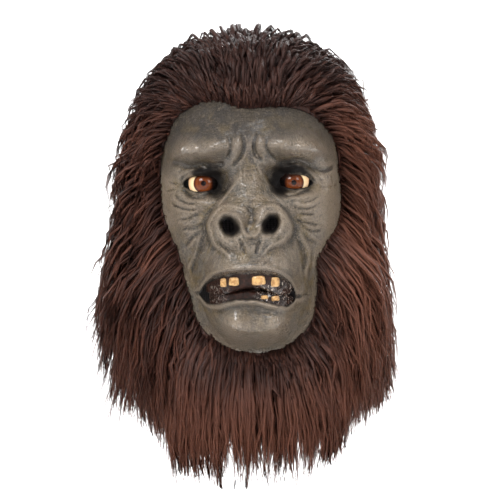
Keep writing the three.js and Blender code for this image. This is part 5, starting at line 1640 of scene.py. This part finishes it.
class MASK_OT_face(bpy.types.Operator):
    """Build the painted rubber face"""

    bl_idname = "mask.face"
    bl_label = "Face"

    def execute(self, context):
        finished(build_face(), skin_material(context.scene.mask_skin), "skin", "face_skin")
        return {"FINISHED"}


class MASK_OT_eyes(bpy.types.Operator):
    """Build the two glass eyes"""

    bl_idname = "mask.eyes"
    bl_label = "Eyes"

    def execute(self, context):
        looks = context.scene.mask_mouth_and_eyes
        for side, eye in (("left", LEFT_EYE), ("right", RIGHT_EYE)):
            low, high = (np.array(corner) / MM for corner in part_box(f"{side}_eye"))
            centre = ((low[0] + high[0]) / 2, low[1] + EYE_RADIUS, (low[2] + high[2]) / 2)
            cornea = (*eye["pupil"], *CORNEA)
            piece = dome(f"{side}_glass_eye", centre, EYE_RADIUS, high[1] - low[1], cornea)
            finished(piece, eye_material(looks, eye), "eye", f"{side}_eye")
        return {"FINISHED"}


class MASK_OT_mouth(bpy.types.Operator):
    """Build the gums and the teeth, and dress the tongue in wet flesh"""

    bl_idname = "mask.mouth"
    bl_label = "Mouth"

    def execute(self, context):
        looks = context.scene.mask_mouth_and_eyes
        wet = gum_material(looks)
        for name, table, lumps, seed in (("upper_gum", UPPER_GUM, 60, 21), ("lower_gum", LOWER_GUM, 50, 22)):
            flesh = bar_behind_lips(f"{name}_flesh", table, lumps, seed)
            finished(flesh, wet, "gum", name)
        dressed(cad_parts["tongue"], wet)
        cheek_and_right_painted_light = tooth_material(looks)
        for name, spec in TEETH.items():
            finished(build_tooth(name, spec), cheek_and_right_painted_light, "tooth", name)
        return {"FINISHED"}


class MASK_OT_hair(bpy.types.Operator):
    """Build the hide and the five pieces of hair"""

    bl_idname = "mask.hair"
    bl_label = "Hair"

    def execute(self, context):
        brown = hair_material(context.scene.mask_hair)
        finished(build_backing(), brown, "fur")
        for name, spec in HAIR.items():
            finished(build_hair(name, spec), brown, "fur", spec[0])
        return {"FINISHED"}


HOOD_PANELS = ("left_crown_panel", "right_crown_panel", "left_panel", "right_panel", "back_panel")


class MASK_OT_hood(bpy.types.Operator):
    """Give the hood's panels their knitted cloth"""

    bl_idname = "mask.hood"
    bl_label = "Hood"

    def execute(self, context):
        cloth = cloth_material(context.scene.mask_hair)
        for name in HOOD_PANELS:
            dressed(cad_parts[name], cloth)
        return {"FINISHED"}


class MASK_OT_stage(bpy.types.Operator):
    """Set the pale floor, the soft lights and the camera"""

    bl_idname = "mask.stage"
    bl_label = "Stage"

    def execute(self, context):
        stage = context.scene.mask_stage
        build_floor(stage.floor_drop)
        for lamp in LAMPS:
            add_lamp(*lamp)
        context.scene.camera = add_camera(stage)
        light_world(context.scene)
        return {"FINISHED"}


SENSOR_WIDTH = 36
WORLD_STRENGTH = 0.36

# Soft lights: place and aim in metres, width of the square and power. Two light the backdrop alone.
LAMPS = (
    ("key", (-1.2, -1.7, 1.1), (0, 0, -0.18), 0.9, 42.0),
    ("glint", (-0.7, -1.7, 0.7), (0, 0, -0.18), 0.22, 5.0),
    ("fill", (1.5, -1.6, 0.5), (0, 0, -0.18), 0.9, 19.0),
    ("top", (0.1, -0.8, 1.7), (0, 0, -0.18), 0.9, 34.0),
    ("left_backdrop", (-2.0, 2.0, 0.4), (0.4, 3.5, -0.2), 0.8, 66.0),
    ("right_backdrop", (2.0, 2.0, 0.4), (-0.4, 3.5, -0.2), 0.8, 66.0),
    ("back", (0.9, 2.2, 1.5), (0, 0, -0.18), 0.8, 24.0),
)


# The sweep's bend, where it starts behind the mask, how far the floor reaches and its height, in millimetres
SWEEP_RADIUS = 900.0
SWEEP_BACK = 2600.0
SWEEP_REACH = 7000.0
SWEEP_HEIGHT = 4500.0
SWEEP_STEPS = 25
FLOOR_PALE = (0.90, 0.90, 0.90)
FLOOR_GREY = (0.86, 0.86, 0.86)


def build_floor(drop):
    """A white sweep: flat under the mask, curving up behind it, a profile in Y and Z drawn along X."""
    turn = np.linspace(0, np.pi / 2, SWEEP_STEPS)
    y = SWEEP_BACK + SWEEP_RADIUS * np.append(np.sin(turn), 1)
    y = np.concatenate([[-SWEEP_REACH], y])
    z = np.concatenate([[0], SWEEP_RADIUS * (1 - np.cos(turn)), [SWEEP_HEIGHT]]) + drop / MM
    x = np.tile([-SWEEP_REACH, SWEEP_REACH], (len(y), 1))
    points = np.stack([x, np.tile(y[:, None], 2), np.tile(z[:, None], 2)], -1).reshape(-1, 3)
    floor = mesh_object("floor", points, grid_faces(len(y), 2, closed=False)[:, ::-1])
    n = Nodes("pale_floor")
    place = n.place()[0]
    shade = n.mixed(n.noise(place, 400) * 0.2, FLOOR_PALE, FLOOR_GREY)
    floor.data.materials.append(n.surface(Base_Color=shade, Roughness=0.8))


def add_lamp(name, place, aim, size, watts):
    """A square soft light that faces its aim."""
    lamp = bpy.data.lights.new(name, "AREA")
    lamp.size = size
    lamp.energy = watts
    light = bpy.data.objects.new(name, lamp)
    light.location = place
    way = Vector(aim) - Vector(place)
    light.rotation_euler = way.to_track_quat("-Z", "Y").to_euler()
    bpy.context.scene.collection.objects.link(light)


def add_camera(stage):
    """A long lens level with the face, looking along +Y and rolled a little."""
    lens = bpy.data.cameras.new("camera")
    lens.sensor_width = SENSOR_WIDTH
    lens.lens = lens.sensor_width * (stage.distance - stage.face_depth) / stage.view_width
    camera = bpy.data.objects.new("camera", lens)
    look = Matrix.Rotation(90 * DEG, 4, "X") @ Matrix.Rotation(stage.roll, 4, "Z")
    camera.matrix_world = Matrix.Translation((stage.view_x, -stage.distance, stage.view_z)) @ look
    bpy.context.scene.collection.objects.link(camera)
    return camera


def light_world(scene):
    """An even white surround."""
    world = bpy.data.worlds.new("surround")
    world.use_nodes = True
    background = world.node_tree.nodes["Background"]
    background.inputs["Color"].default_value = (1, 1, 1, 1)
    background.inputs["Strength"].default_value = WORLD_STRENGTH
    scene.world = world
    scene.view_settings.view_transform = "Standard"


class MASK_PT_parts(bpy.types.Panel):
    """The mask's parts, in the 3D view's sidebar"""

    bl_idname = "MASK_PT_parts"
    bl_label = "Gorilla mask"
    bl_space_type = "VIEW_3D"
    bl_region_type = "UI"
    bl_category = "Mask"

    def draw(self, context):
        for operator in OPERATORS:
            self.layout.operator(operator.bl_idname)
        for name, group in SETTINGS.items():
            box = self.layout.box()
            for key in group.__annotations__:
                box.prop(getattr(context.scene, name), key)


OPERATORS = (MASK_OT_stage, MASK_OT_face, MASK_OT_eyes, MASK_OT_mouth, MASK_OT_hair, MASK_OT_hood)


def register():
    """Registers the settings, the operators and the panel."""
    for group in SETTINGS.values():
        bpy.utils.register_class(group)
    for name, group in SETTINGS.items():
        setattr(bpy.types.Scene, name, bpy.props.PointerProperty(type=group))
    for operator in OPERATORS:
        bpy.utils.register_class(operator)
    bpy.utils.register_class(MASK_PT_parts)


def unregister():
    """Takes them out again, in the other order."""
    bpy.utils.unregister_class(MASK_PT_parts)
    for operator in reversed(OPERATORS):
        bpy.utils.unregister_class(operator)
    for name, group in SETTINGS.items():
        delattr(bpy.types.Scene, name)
        bpy.utils.unregister_class(group)


def main():
    """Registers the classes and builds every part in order."""
    register()
    bpy.ops.mask.stage()
    bpy.ops.mask.face()
    bpy.ops.mask.eyes()
    bpy.ops.mask.mouth()
    bpy.ops.mask.hair()
    bpy.ops.mask.hood()


if __name__ == "__main__":
    main()
